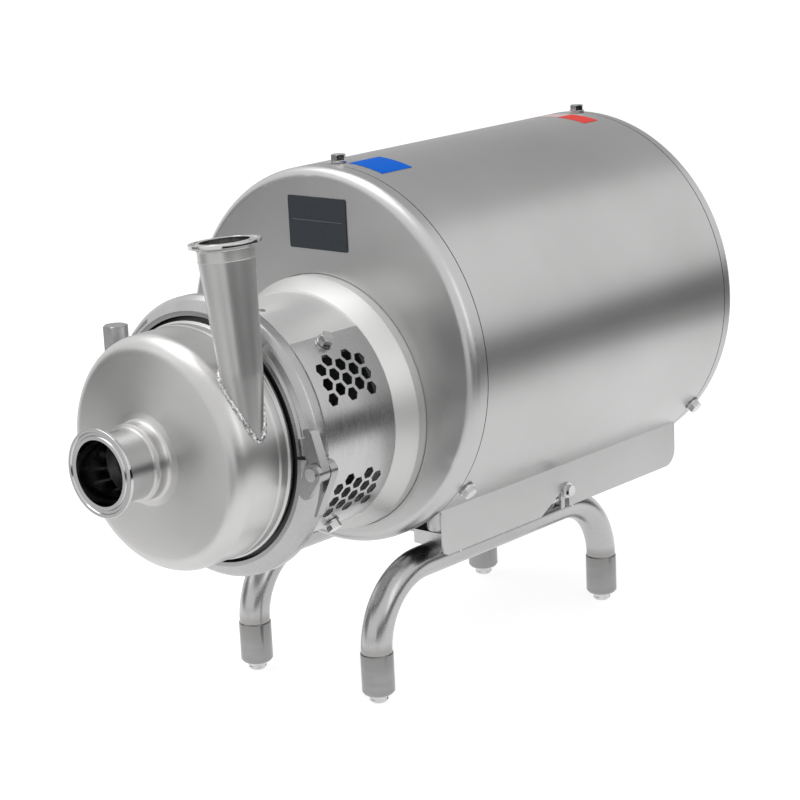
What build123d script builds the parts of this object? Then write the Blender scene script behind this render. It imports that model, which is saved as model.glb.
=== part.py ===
from math import atan2, cos, degrees, hypot, pi, radians, sin, sqrt, tan
import os

from build123d import *

os.makedirs("parts", exist_ok=True)

# All sizes are in millimetres. Stations run rearward along the pump axis from the suction face.

# Suction and discharge connections
SUCTION_RIM_RADIUS = 32.0
SUCTION_BORE_RADIUS = 23.8
SUCTION_WALL = 1.6
SUCTION_LENGTH = 28.3
DISCHARGE_RIM_RADIUS = 25.25
DISCHARGE_BORE_RADIUS = 17.5
DISCHARGE_WALL = 2.2
DISCHARGE_NECK = 12.5
DISCHARGE_REACH = 138.0
DISCHARGE_MOUTH_RADIUS = 9.7
DISCHARGE_LEAN = 5.08
DISCHARGE_SHOULDER = 0.5
RIM_THICKNESS = 2.8
RIM_SLOPE = 20.0
FACE_GROOVE_DEPTH = 1.0

# Pressed casing
COLLAR_STEP = 2.9
COLLAR_LENGTH = 13.7
CASING_RADIUS = 86.3
CASING_WALL = 2.5
CASING_DEPTH = 59.2
FACE_SLOPE = 9.15
SHOULDER_RADIUS = 14.6
LIP_STEP = 1.9
LIP_WIDTH = 2.5
LIP_GAP = 3.0

# Clamped flanges
FLANGE_HEIGHT = 10.2
FLANGE_WIDTH = 7.3
FLANGE_SLOPE = 20.0
COVER_RIM = 5.0
COVER_WEB = 5.0
COVER_SPIGOT = 19.5
COVER_CLEARANCE = 0.3
GASKET_CORD = 1.8

# Clamp
CLAMP_SECTION = 7.5
CLAMP_LIP = 5.3
CLAMP_FRONT = 1.7
CLAMP_REAR = 1.7
CLAMP_CLEARANCE = 0.35
HINGE_REACH = 105.0
HINGE_DROP = 10.0
HINGE_EAR_RADIUS = 7.5
HINGE_FRONT_EAR = 3.6
HINGE_REAR_EAR = 7.15
HINGE_TONGUE = 7.95
HINGE_PIN_RADIUS = 3.2
CLAMP_BOLT_REACH = 106.5
CLAMP_BOLT_DROP = 14.0
CLAMP_BOLT_STATION = 17.5
CLAMP_BOLT_RADIUS = 5.0
CLAMP_BOLT_EYE = 8.0
CLAMP_SEAT_RADIUS = 38.0
CLAMP_NUT_FLATS = 16.5
CLAMP_NUT_LENGTH = 44.0
CLAMP_WASHER_THICKNESS = 2.0

# Impeller, shaft and seal
IMPELLER_RADIUS = 74.0
IMPELLER_EYE_RADIUS = 27.0
IMPELLER_OUTLET = 15.0
IMPELLER_DISC = 3.0
IMPELLER_GAP = 4.0
IMPELLER_HUB_RADIUS = 17.0
VANE_COUNT = 6
VANE_THICKNESS = 2.6
SHAFT_NOSE_RADIUS = 9.0
SHAFT_SEAL_RADIUS = 14.0
SHAFT_SLEEVE_RADIUS = 19.0
SEAL_RING_RADIUS = 21.0
SEAL_RING_LENGTH = 8.0

# Lantern and guards
LANTERN_RADIUS = 89.2
LANTERN_WALL = 7.0
LANTERN_LENGTH = 118.3
LANTERN_FLARE_RADIUS = 98.3
LANTERN_FLARE_LENGTH = 17.5
LANTERN_REAR_RIM = 9.8
LANTERN_WEB = 12.0
WINDOW_LENGTH = 56.0
WINDOW_LOW = -45.0
WINDOW_HIGH = 42.0
GUARD_SHEET = 1.0
GUARD_START = 18.0
GUARD_LOW = -54.0
GUARD_HIGH = 51.0
HEXAGON_FLATS = 9.0
HEXAGON_COLUMN = 10.17
HEXAGON_ROW = 7.25

# Motor, frame size 80
MOTOR_FLANGE_RADIUS = 100.0
MOTOR_FLANGE_THICKNESS = 12.0
MOTOR_SPIGOT_RADIUS = 65.0
MOTOR_BOLT_CIRCLE_RADIUS = 82.5
MOTOR_SHAFT_RADIUS = 9.5
MOTOR_SHAFT_LENGTH = 40.0
MOTOR_FRAME_RADIUS = 67.0
MOTOR_FRAME_WALL = 6.0
MOTOR_FRAME_LENGTH = 150.0
MOTOR_FIN_HEIGHT = 8.0
MOTOR_CENTRE_HEIGHT = 80.0
MOTOR_FOOT_OFFSET = 62.5
MOTOR_FOOT_START = 50.0
MOTOR_FOOT_SPACING = 100.0
BEARING_RADIUS = 23.5
BEARING_WIDTH = 14.0
AIR_GAP_RADIUS = 35.5
CORE_LENGTH = 95.0
FAN_RADIUS = 60.0
FAN_DISTANCE = 26.0
FAN_HUB_LENGTH = 18.0
COWL_LENGTH = 62.0
COWL_SHEET = 1.2
BOX_WIDTH = 80.0
BOX_LENGTH = 90.0
BOX_HEIGHT = 44.0

# Stainless motor shroud
SHROUD_RADIUS = 144.7
SHROUD_DROP = 110.9
SHROUD_SHEET = 1.5
SHROUD_FRONT_DEPTH = 16.3
SHROUD_LENGTH = 307.2
SHROUD_REAR_DEPTH = 12.6
SHROUD_FRONT_ROUND = 14.0
SHROUD_REAR_ROUND = 9.0
SHROUD_TONGUE = 18.0
SKIRT_HALF_WIDTH = 93.0
SKIRT_BOTTOM = 113.0
PLATE_WIDTH = 58.0
PLATE_HEIGHT = 39.5
PLATE_DROP = 41.8

# Legs and feet
AXIS_HEIGHT = 219.4
LEG_OFFSET = 64.2
LEG_TUBE_RADIUS = 12.0
LEG_TUBE_WALL = 2.0
LEG_RUN_DROP = 123.5
LEG_BEND_RADIUS = 55.5
LEG_START = 31.5
LEG_SPACING = 284.5
SLEEVE_RADIUS = 12.7
SLEEVE_LENGTH = 32.0
FOOT_HEAD = 7.0
FOOT_FLATS = 13.0
FOOT_THREAD_RADIUS = 5.0
TRAY_START = 38.2
TRAY_LENGTH = 143.0
TRAY_DROP = 104.0
TRAY_SHEET = 2.5
SADDLE_WIDTH = 45.7

# Fits
RUNNING_FIT = 0.05
SEATED_FIT = 0.05

# Stations along the pump axis
COLLAR_AT = SUCTION_LENGTH
FACE_AT = COLLAR_AT + COLLAR_LENGTH
LIP_AT = FACE_AT + CASING_DEPTH
FLANGE_AT = LIP_AT + LIP_GAP
JOINT_AT = FLANGE_AT + FLANGE_WIDTH
LANTERN_AT = JOINT_AT + COVER_RIM
MOTOR_AT = LANTERN_AT + LANTERN_LENGTH
SHROUD_AT = MOTOR_AT - SHROUD_SHEET
SHROUD_RISE = SHROUD_RADIUS - SHROUD_DROP
WRAP_AT = SHROUD_AT + SHROUD_FRONT_DEPTH
WRAP_END = WRAP_AT + SHROUD_LENGTH
TOTAL_LENGTH = WRAP_END + SHROUD_REAR_DEPTH
FLANGE_RADIUS = CASING_RADIUS + FLANGE_HEIGHT
CASING_BORE_RADIUS = CASING_RADIUS - CASING_WALL
SUCTION_TUBE_RADIUS = SUCTION_BORE_RADIUS + SUCTION_WALL
COVER_FACE_AT = JOINT_AT - COVER_SPIGOT
STAND = Location((0, -TOTAL_LENGTH / 2, AXIS_HEIGHT))
FORWARD_AXIS = Axis((0, 0, 0), (0, -1, 0))


# Helpers

def rounded_face(points):
    # Each corner is (x, y) or (x, y, corner radius).
    edges = []
    starts = []
    ends = []
    arcs = []
    count = len(points)
    for i in range(count):
        x, y = points[i][:2]
        radius = points[i][2] if len(points[i]) > 2 else 0
        if radius <= 0:
            starts.append((x, y))
            ends.append((x, y))
            arcs.append(None)
            continue
        ax, ay = points[i - 1][:2]
        bx, by = points[(i + 1) % count][:2]
        la = hypot(ax - x, ay - y)
        lb = hypot(bx - x, by - y)
        ua = ((ax - x) / la, (ay - y) / la)
        ub = ((bx - x) / lb, (by - y) / lb)
        half = (pi - abs(pi - abs(atan2(ua[1], ua[0]) - atan2(ub[1], ub[0])) % (2 * pi))) / 2
        reach = min(radius / tan(half), 0.49 * la, 0.49 * lb)
        size = reach * tan(half)
        mid = (ua[0] + ub[0], ua[1] + ub[1])
        length = hypot(*mid)
        out = size / sin(half) - size
        starts.append((x + ua[0] * reach, y + ua[1] * reach))
        ends.append((x + ub[0] * reach, y + ub[1] * reach))
        arcs.append((x + mid[0] / length * out, y + mid[1] / length * out))
    for i in range(count):
        if arcs[i]:
            edges.append(ThreePointArc(starts[i], arcs[i], ends[i]))
        following = (i + 1) % count
        if hypot(ends[i][0] - starts[following][0], ends[i][1] - starts[following][1]) > 1e-6:
            edges.append(Line(ends[i], starts[following]))
    return make_face(Wire(edges))


def turned(points, start=0, sweep=360):
    # Profile points are (radius, station). Angles run from +X towards +Z.
    face = Rot(0, -start, 0) * rounded_face(points)
    return revolve(face, FORWARD_AXIS, sweep)


def ring(inner, outer, station, length):
    return turned([(inner, station), (outer, station), (outer, station + length), (inner, station + length)])


def rod_y(radius, station, length, x=0, z=0):
    return Pos(x, station + length / 2, z) * Rot(-90, 0, 0) * Cylinder(radius, length)


def rod_z(radius, low, high, x=0, y=0):
    return Pos(x, y, (low + high) / 2) * Cylinder(radius, high - low)


def block(x0, x1, y0, y1, z0, z1):
    return Pos((x0 + x1) / 2, (y0 + y1) / 2, (z0 + z1) / 2) * Box(x1 - x0, y1 - y0, z1 - z0)


def outline_y(points, station, length):
    # Outline of (x, z) points, extruded rearward from a station.
    face = rounded_face([(p[0], -p[1]) + tuple(p[2:]) for p in points])
    return Pos(0, station, 0) * Rot(-90, 0, 0) * extrude(face, length)


def outline_x(points, start, length):
    # Outline of (station, z) points, extruded to the right from x = start.
    face = rounded_face(points)
    return Plane((start, 0, 0), x_dir=(0, 1, 0), z_dir=(1, 0, 0)) * extrude(face, length)


def radial(angle, radius, station, shape, rise=0):
    x = radius * cos(radians(angle))
    z = rise + radius * sin(radians(angle))
    return Pos(x, station, z) * Rot(0, 90 - angle, 0) * shape


def hexagon(flats, low, high, chamfer_top=0.0):
    face = RegularPolygon(flats / sqrt(3), 6)
    body = Pos(0, 0, low) * extrude(face, high - low)
    if chamfer_top > 0:
        reach = flats / sqrt(3)
        cut = Pos(0, 0, high - chamfer_top * 0.5) * Cone(reach + chamfer_top, reach - chamfer_top, chamfer_top)
        keep = Pos(0, 0, (low + high - chamfer_top) / 2) * Cylinder(reach + 1, high - chamfer_top - low)
        body = body & (keep + cut)
    return body


def washer_bolt(flats, head, flange, flange_thickness, shank, length):
    # Hexagon head with a washer face at z = 0 and its shank below.
    bolt = hexagon(flats, flange_thickness, flange_thickness + head, 0.6)
    bolt += Pos(0, 0, flange_thickness / 2) * Cylinder(flange, flange_thickness)
    bolt += Pos(0, 0, -length / 2) * Cylinder(shank, length)
    return bolt


def mirror_left(shape):
    return mirror(shape, Plane.YZ)


def node(name, *shapes):
    solids = [solid for shape in shapes for solid in shape.solids()]
    whole = solids[0] if len(solids) == 1 else Compound(solids)
    export_step(STAND * whole, "parts/" + name + ".step")


# Suction connection

def suction_ferrule():
    drop = (SUCTION_RIM_RADIUS - SUCTION_TUBE_RADIUS) * tan(radians(RIM_SLOPE))
    groove = (SUCTION_BORE_RADIUS + SUCTION_RIM_RADIUS) / 2
    body = turned([
        (SUCTION_BORE_RADIUS, 0),
        (SUCTION_RIM_RADIUS, 0, 0.5),
        (SUCTION_RIM_RADIUS, RIM_THICKNESS, 0.5),
        (SUCTION_TUBE_RADIUS, RIM_THICKNESS + drop, 1.5),
        (SUCTION_TUBE_RADIUS, COLLAR_AT),
        (SUCTION_BORE_RADIUS, COLLAR_AT),
    ])
    return body - turned([
        (groove - 1.6, -1),
        (groove + 1.6, -1),
        (groove + 1.6, 0),
        (groove + 0.9, FACE_GROOVE_DEPTH),
        (groove - 0.9, FACE_GROOVE_DEPTH),
        (groove - 1.6, 0),
    ])


# Discharge connection, built along its own axis from the flange face downward

def discharge_place(shape):
    top_x = DISCHARGE_TOP[0]
    top_z = DISCHARGE_TOP[1]
    return Pos(top_x, DISCHARGE_AT, top_z) * Rot(0, 180 - DISCHARGE_LEAN, 0) * shape


def axis_turned(points):
    # Profile points are (radius, distance along local Z).
    face = Rot(90, 0, 0) * rounded_face(points)
    return revolve(face, Axis.Z, 360)


DISCHARGE_AT = FACE_AT + 32.0
DISCHARGE_FOOT_X = CASING_RADIUS - 1.9 - DISCHARGE_MOUTH_RADIUS
DISCHARGE_FOOT_Z = 18.2
DISCHARGE_TOP = (
    DISCHARGE_FOOT_X - DISCHARGE_REACH * sin(radians(DISCHARGE_LEAN)),
    DISCHARGE_FOOT_Z + DISCHARGE_REACH * cos(radians(DISCHARGE_LEAN)),
)


def discharge_ferrule():
    neck = DISCHARGE_BORE_RADIUS + DISCHARGE_WALL
    drop = (DISCHARGE_RIM_RADIUS - neck) * tan(radians(RIM_SLOPE))
    groove = (DISCHARGE_BORE_RADIUS + DISCHARGE_RIM_RADIUS) / 2
    body = axis_turned([
        (DISCHARGE_BORE_RADIUS, 0),
        (DISCHARGE_RIM_RADIUS, 0, 0.5),
        (DISCHARGE_RIM_RADIUS, RIM_THICKNESS, 0.5),
        (neck, RIM_THICKNESS + drop, 1.2),
        (neck, DISCHARGE_NECK),
        (DISCHARGE_BORE_RADIUS, DISCHARGE_NECK),
    ])
    body -= axis_turned([
        (groove - 1.4, -1),
        (groove + 1.4, -1),
        (groove + 1.4, 0),
        (groove + 0.7, FACE_GROOVE_DEPTH),
        (groove - 0.7, FACE_GROOVE_DEPTH),
        (groove - 1.4, 0),
    ])
    return discharge_place(body)


def cone_solid(shrink, extra):
    # Tapered pipe filled solid, a little longer at the casing end.
    neck = DISCHARGE_BORE_RADIUS + DISCHARGE_WALL - shrink
    middle = (neck + DISCHARGE_MOUTH_RADIUS - shrink) / 2 + DISCHARGE_SHOULDER
    waist = DISCHARGE_NECK + 0.63 * (DISCHARGE_REACH - DISCHARGE_NECK)
    return discharge_place(axis_turned([
        (0, DISCHARGE_NECK - extra),
        (neck, DISCHARGE_NECK - extra),
        (neck, DISCHARGE_NECK),
        (middle, waist, 120.0),
        (DISCHARGE_MOUTH_RADIUS - shrink, DISCHARGE_REACH),
        (DISCHARGE_MOUTH_RADIUS - shrink - 0.5, DISCHARGE_REACH + 4.0),
        (0, DISCHARGE_REACH + 4.0),
    ]))


def casing_envelope():
    # The casing filled solid, used to trim the pipe that is welded to it.
    corner = FACE_AT + (CASING_RADIUS - 31.0) * tan(radians(FACE_SLOPE))
    return turned([
        (0, FACE_AT),
        (31.0, FACE_AT),
        (CASING_RADIUS, corner, SHOULDER_RADIUS),
        (CASING_RADIUS, JOINT_AT),
        (0, JOINT_AT),
    ])


def discharge_cone():
    pipe = cone_solid(0, 0) - cone_solid(DISCHARGE_WALL, 1.0)
    return (pipe - casing_envelope()).solids().sort_by(SortBy.VOLUME)[-1]


# Pressed casing with its collar, shoulder, bead and clamping flange

def pump_casing():
    collar = SUCTION_TUBE_RADIUS + COLLAR_STEP
    foot = 31.0
    slope = tan(radians(FACE_SLOPE))
    corner = FACE_AT + (CASING_RADIUS - foot) * slope
    wall_corner = corner + CASING_WALL
    lip = CASING_RADIUS + LIP_STEP
    flank = (FLANGE_RADIUS - CASING_RADIUS) * tan(radians(FLANGE_SLOPE))
    bore = CASING_BORE_RADIUS
    shell = turned([
        (SUCTION_BORE_RADIUS, COLLAR_AT),
        (SUCTION_TUBE_RADIUS, COLLAR_AT),
        (SUCTION_TUBE_RADIUS + 0.6, COLLAR_AT + 1.4, 1.0),
        (collar, COLLAR_AT + 2.6, 0.4),
        (collar, COLLAR_AT + 4.6, 1.2),
        (collar - 1.0, COLLAR_AT + 7.0, 4.0),
        (collar - 0.6, FACE_AT - 1.6, 4.5),
        (foot + 3.0, FACE_AT + 0.4 + 3.0 * slope, 5.0),
        (CASING_RADIUS, corner, SHOULDER_RADIUS),
        (CASING_RADIUS, LIP_AT - 12.0, 2.0),
        (CASING_RADIUS + 0.5, LIP_AT - 10.0, 2.0),
        (CASING_RADIUS + 0.5, LIP_AT - LIP_WIDTH - 1.0, 1.0),
        (lip, LIP_AT - LIP_WIDTH, 0.8),
        (lip, LIP_AT, 0.8),
        (CASING_RADIUS + 0.7, LIP_AT + 0.6),
        (CASING_RADIUS + 0.7, FLANGE_AT),
        (FLANGE_RADIUS, FLANGE_AT + flank, 0.6),
        (FLANGE_RADIUS, JOINT_AT, 0.4),
        (bore, JOINT_AT),
        (bore, wall_corner + 1.2, SHOULDER_RADIUS - CASING_WALL),
        (SUCTION_BORE_RADIUS + 6.0, FACE_AT + CASING_WALL, 8.0),
        (SUCTION_BORE_RADIUS, FACE_AT - 3.0, 6.0),
    ])
    return shell - cone_solid(DISCHARGE_WALL, 0)


def casing_gasket():
    centre = CASING_BORE_RADIUS - GASKET_CORD
    face = Pos(centre, JOINT_AT - 6.0, 0) * Circle(GASKET_CORD - SEATED_FIT)
    return revolve(face, FORWARD_AXIS, 360)


def pump_cover():
    spigot = CASING_BORE_RADIUS - COVER_CLEARANCE
    groove = CASING_BORE_RADIUS - 2 * GASKET_CORD
    gasket = JOINT_AT - 6.0
    web = COVER_FACE_AT + COVER_WEB
    inner = spigot - 10.0
    hub = SEAL_RING_RADIUS + 9.0
    return turned([
        (SEAL_RING_RADIUS + SEATED_FIT, COVER_FACE_AT),
        (spigot, COVER_FACE_AT, 0.8),
        (spigot, gasket - GASKET_CORD - 0.1),
        (groove, gasket - GASKET_CORD - 0.1),
        (groove, gasket + GASKET_CORD + 0.1),
        (spigot, gasket + GASKET_CORD + 0.1),
        (spigot, JOINT_AT + SEATED_FIT),
        (FLANGE_RADIUS, JOINT_AT + SEATED_FIT, 0.4),
        (FLANGE_RADIUS, LANTERN_AT, 0.4),
        (inner, LANTERN_AT),
        (inner - 2.0, web + 3.0, 3.0),
        (hub + 4.0, web, 3.0),
        (hub, LANTERN_AT + 4.0, 1.0),
        (SEAL_RING_RADIUS - 3.0, LANTERN_AT + 4.0),
        (SEAL_RING_RADIUS - 3.0, LANTERN_AT),
        (SEAL_RING_RADIUS + SEATED_FIT, LANTERN_AT),
    ])


# Impeller, nut, shaft and mechanical seal

DISC_AT = COVER_FACE_AT - IMPELLER_GAP - IMPELLER_DISC
SHROUD_RIM_AT = DISC_AT - IMPELLER_OUTLET
EYE_AT = SHROUD_RIM_AT - 9.0
HUB_AT = EYE_AT + 4.0
INLET_AT = FACE_AT + CASING_WALL + 2.5


def impeller():
    eye = IMPELLER_EYE_RADIUS
    hub = IMPELLER_HUB_RADIUS
    body = turned([
        (SHAFT_NOSE_RADIUS + SEATED_FIT, HUB_AT),
        (hub - 4.0, HUB_AT, 1.0),
        (hub, DISC_AT - 6.0, 10.0),
        (hub + 8.0, DISC_AT, 8.0),
        (IMPELLER_RADIUS, DISC_AT),
        (IMPELLER_RADIUS, DISC_AT + IMPELLER_DISC),
        (SHAFT_SEAL_RADIUS + 6.0, DISC_AT + IMPELLER_DISC),
        (SHAFT_SEAL_RADIUS + 6.0, COVER_FACE_AT - 0.8),
        (SHAFT_NOSE_RADIUS + SEATED_FIT, COVER_FACE_AT - 0.8),
    ])
    body += turned([
        (eye - 2.0, INLET_AT),
        (eye, INLET_AT),
        (eye, EYE_AT + 5.0, 5.0),
        (IMPELLER_RADIUS, SHROUD_RIM_AT - 2.0),
        (IMPELLER_RADIUS, SHROUD_RIM_AT),
        (eye - 2.0, EYE_AT + 8.0, 6.0),
    ])
    channel = turned([
        (hub - 5.0, HUB_AT),
        (eye - 1.0, EYE_AT + 2.0),
        (eye - 1.0, EYE_AT + 6.6),
        (IMPELLER_RADIUS, SHROUD_RIM_AT - 1.0),
        (IMPELLER_RADIUS, DISC_AT + 1.0),
        (hub - 5.0, DISC_AT + 1.0),
    ])
    inner = hub - 2.0
    path = ((inner, 12.0), ((inner + IMPELLER_RADIUS) / 2, -24.0), (IMPELLER_RADIUS + 1.0, -62.0))
    line = [Vector(r * cos(radians(a)), r * sin(radians(a))) for r, a in path]
    sides = []
    for sign in (1, -1):
        side = []
        for i in range(3):
            along = line[min(i + 1, 2)] - line[max(i - 1, 0)]
            across = Vector(-along.Y, along.X).normalized() * (sign * VANE_THICKNESS / 2)
            side.append(line[i] + across)
        sides.append(side)
    left, right = sides
    vane = make_face(Wire([
        ThreePointArc(*left),
        Line(left[2], right[2]),
        ThreePointArc(right[2], right[1], right[0]),
        Line(right[0], left[0]),
    ]))
    depth = DISC_AT + 2.0 - HUB_AT
    vanes = None
    for i in range(VANE_COUNT):
        turn = Rot(-90, 0, 0) * Rot(0, 0, 360 / VANE_COUNT * i)
        blade = Pos(0, HUB_AT, 0) * turn * extrude(vane, depth)
        blade = blade & channel
        vanes = blade if vanes is None else vanes + blade
    return (body + vanes).solids().sort_by(SortBy.VOLUME)[-1]


def impeller_nut():
    start = HUB_AT - 11.0
    nut = Pos(0, 0, 0) * hexagon(18.0, 0, 8.0, 0.8)
    dome = axis_turned([(0, 8.0), (8.2, 8.0), (7.4, 11.5, 4.0), (4.5, 14.5, 4.0), (0, 15.6)])
    flange = Pos(0, 0, 0.6) * Cylinder(11.5, 1.2)
    body = nut + dome + flange
    body -= Pos(0, 0, 4.9) * Cylinder(5.0 + SEATED_FIT, 10.2)
    return Pos(0, HUB_AT, 0) * Rot(90, 0, 0) * body


def pump_shaft():
    sleeve_at = LANTERN_AT + 40.0
    bore_at = MOTOR_AT - MOTOR_SHAFT_LENGTH - 1.0
    body = turned([
        (0, HUB_AT - 9.0),
        (4.4, HUB_AT - 9.0),
        (5.0, HUB_AT - 8.4),
        (5.0, HUB_AT),
        (SHAFT_NOSE_RADIUS, HUB_AT),
        (SHAFT_NOSE_RADIUS, COVER_FACE_AT - 0.8),
        (SHAFT_SEAL_RADIUS, COVER_FACE_AT - 0.8),
        (SHAFT_SEAL_RADIUS, sleeve_at),
        (SHAFT_SLEEVE_RADIUS, sleeve_at + 4.0),
        (SHAFT_SLEEVE_RADIUS, MOTOR_AT - 6.0),
        (MOTOR_SHAFT_RADIUS + SEATED_FIT, MOTOR_AT - 6.0),
        (MOTOR_SHAFT_RADIUS + SEATED_FIT, bore_at),
        (0, bore_at),
    ])
    body -= block(-3.05, 3.05, bore_at + 3.0, MOTOR_AT - 5.0, 0, MOTOR_SHAFT_RADIUS + 2.9)
    for angle in (-60, -120):
        body -= radial(angle, 14.0, MOTOR_AT - 20.0, Cylinder(3.0 + SEATED_FIT, 14.0))
    return body


def shaft_set_screws():
    screws = []
    for angle in (-60, -120):
        reach = SHAFT_SLEEVE_RADIUS - MOTOR_SHAFT_RADIUS - 1.5
        screw = Pos(0, 0, reach / 2) * Cylinder(3.0, reach)
        screw -= Pos(0, 0, reach - 1.0) * hexagon(3.0, 0, 3.0)
        screws.append(radial(angle, MOTOR_SHAFT_RADIUS + SEATED_FIT, MOTOR_AT - 20.0, screw))
    return screws


def seal_stationary_ring():
    start = LANTERN_AT - SEAL_RING_LENGTH
    return turned([
        (SHAFT_SEAL_RADIUS + 0.6, start),
        (SEAL_RING_RADIUS - 3.0, start),
        (SEAL_RING_RADIUS - 3.0, start + 1.5),
        (SEAL_RING_RADIUS, start + 1.5),
        (SEAL_RING_RADIUS, LANTERN_AT - SEATED_FIT),
        (SHAFT_SEAL_RADIUS + 0.6, LANTERN_AT - SEATED_FIT),
    ])


def seal_rotating_ring():
    end = LANTERN_AT - SEAL_RING_LENGTH - RUNNING_FIT
    return turned([
        (SHAFT_SEAL_RADIUS + SEATED_FIT, end - 6.0),
        (SEAL_RING_RADIUS - 2.0, end - 6.0),
        (SEAL_RING_RADIUS - 2.0, end - 1.0),
        (SEAL_RING_RADIUS - 3.2, end),
        (SHAFT_SEAL_RADIUS + SEATED_FIT, end),
    ])


def seal_spring():
    end = LANTERN_AT - SEAL_RING_LENGTH - RUNNING_FIT - 6.0 - SEATED_FIT
    start = COVER_FACE_AT + 0.6
    turns = 2.0
    path = Helix((end - start - 2.2) / turns, end - start - 2.2, SHAFT_SEAL_RADIUS + 2.0)
    pen = Plane(origin=path @ 0, z_dir=path % 0) * Circle(1.0)
    coil = sweep(pen, path, is_frenet=True)
    ends = axis_turned([
        (SHAFT_SEAL_RADIUS + 0.1, -1.1),
        (SHAFT_SEAL_RADIUS + 3.2, -1.1),
        (SHAFT_SEAL_RADIUS + 3.2, 0.4),
        (SHAFT_SEAL_RADIUS + 0.1, 0.4),
    ])
    return Pos(0, start + 1.1, 0) * Rot(-90, 0, 0) * (coil + ends)


def splash_ring():
    start = LANTERN_AT + 14.0
    return turned([
        (SHAFT_SEAL_RADIUS + SEATED_FIT, start),
        (SHAFT_SEAL_RADIUS + 5.0, start),
        (SHAFT_SEAL_RADIUS + 14.0, start + 1.5, 1.0),
        (SHAFT_SEAL_RADIUS + 14.0, start + 3.0),
        (SHAFT_SEAL_RADIUS + 5.0, start + 4.0),
        (SHAFT_SEAL_RADIUS + 5.0, start + 7.0),
        (SHAFT_SEAL_RADIUS + SEATED_FIT, start + 7.0),
    ])


# Clamp in two cast halves, hinged on the right and closed by a swing bolt on the left

CLAMP_START = FLANGE_AT - CLAMP_FRONT
CLAMP_END = LANTERN_AT + FLANGE_WIDTH + CLAMP_REAR
CLAMP_INNER = FLANGE_RADIUS - CLAMP_LIP
CLAMP_OUTER = FLANGE_RADIUS + 0.5 + CLAMP_SECTION
CLAMP_SLOPE = tan(radians(FLANGE_SLOPE))
LANTERN_FLANGE_END = LANTERN_AT + FLANGE_WIDTH


def clamp_bore():
    rise = FLANGE_RADIUS + 0.5
    front = FLANGE_AT + (CLAMP_INNER - CASING_RADIUS) * CLAMP_SLOPE - CLAMP_CLEARANCE
    front_top = FLANGE_AT + (rise - CASING_RADIUS) * CLAMP_SLOPE - CLAMP_CLEARANCE
    rear = LANTERN_FLANGE_END - (CLAMP_INNER - CASING_RADIUS) * CLAMP_SLOPE + CLAMP_CLEARANCE
    rear_top = LANTERN_FLANGE_END - (rise - CASING_RADIUS) * CLAMP_SLOPE + CLAMP_CLEARANCE
    return turned([
        (0, CLAMP_START - 30),
        (CLAMP_INNER, CLAMP_START - 30),
        (CLAMP_INNER, front),
        (rise, front_top),
        (rise, rear_top),
        (CLAMP_INNER, rear),
        (CLAMP_INNER, CLAMP_END + 30),
        (0, CLAMP_END + 30),
    ])


def clamp_ring(start, sweep):
    inner = CLAMP_INNER - 2.0
    outer = CLAMP_OUTER
    return turned([
        (inner, CLAMP_START, 0),
        (CLAMP_INNER + 3.4, CLAMP_START, 1.0),
        (outer - 3.0, CLAMP_START + 5.5, 0.8),
        (outer, CLAMP_START + 9.5, 3.0),
        (outer, CLAMP_END - 5.5, 3.0),
        (outer - 4.5, CLAMP_END, 0.8),
        (inner, CLAMP_END),
    ], start, sweep)


def lug_outline(x, z, radius, tip_x, tip_z, tip_radius, station, length):
    # Two round ends joined by their outer tangents.
    span = hypot(tip_x - x, tip_z - z)
    lean = atan2(tip_z - z, tip_x - x)
    open_angle = atan2(sqrt(max(span ** 2 - (radius - tip_radius) ** 2, 1e-6)), radius - tip_radius)
    points = []
    for sign in (1, -1):
        a = lean + sign * open_angle
        points.append(((x + radius * cos(a), z + radius * sin(a)),
                       (tip_x + tip_radius * cos(a), tip_z + tip_radius * sin(a))))
    upper, lower = points
    tip = (tip_x + tip_radius * cos(lean), tip_z + tip_radius * sin(lean))
    back = (x - radius * cos(lean), z - radius * sin(lean))
    flip = [(p[0], -p[1]) for p in (upper[0], upper[1], tip, lower[1], lower[0], back)]
    face = make_face(Wire([
        Line(flip[0], flip[1]),
        ThreePointArc(flip[1], flip[2], flip[3]),
        Line(flip[3], flip[4]),
        ThreePointArc(flip[4], flip[5], flip[0]),
    ]))
    return Pos(0, station, 0) * Rot(-90, 0, 0) * extrude(face, length)


EAR_FRONT = (CLAMP_START - 1.0, HINGE_FRONT_EAR)
TONGUE = (EAR_FRONT[0] + HINGE_FRONT_EAR + CLAMP_CLEARANCE, HINGE_TONGUE)
EAR_REAR = (TONGUE[0] + HINGE_TONGUE + CLAMP_CLEARANCE, HINGE_REAR_EAR)
CLOSURE_AT = CLAMP_START + CLAMP_BOLT_STATION
CLOSURE_SLOT = CLAMP_BOLT_RADIUS + 0.8
CLOSURE_HALF = CLOSURE_SLOT + 5.3
SEAT_LEVEL = CLAMP_SEAT_RADIUS - CLAMP_BOLT_DROP


def hinge_space(start, length, radius):
    return rod_y(radius, start, length, HINGE_REACH, -HINGE_DROP)


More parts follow.
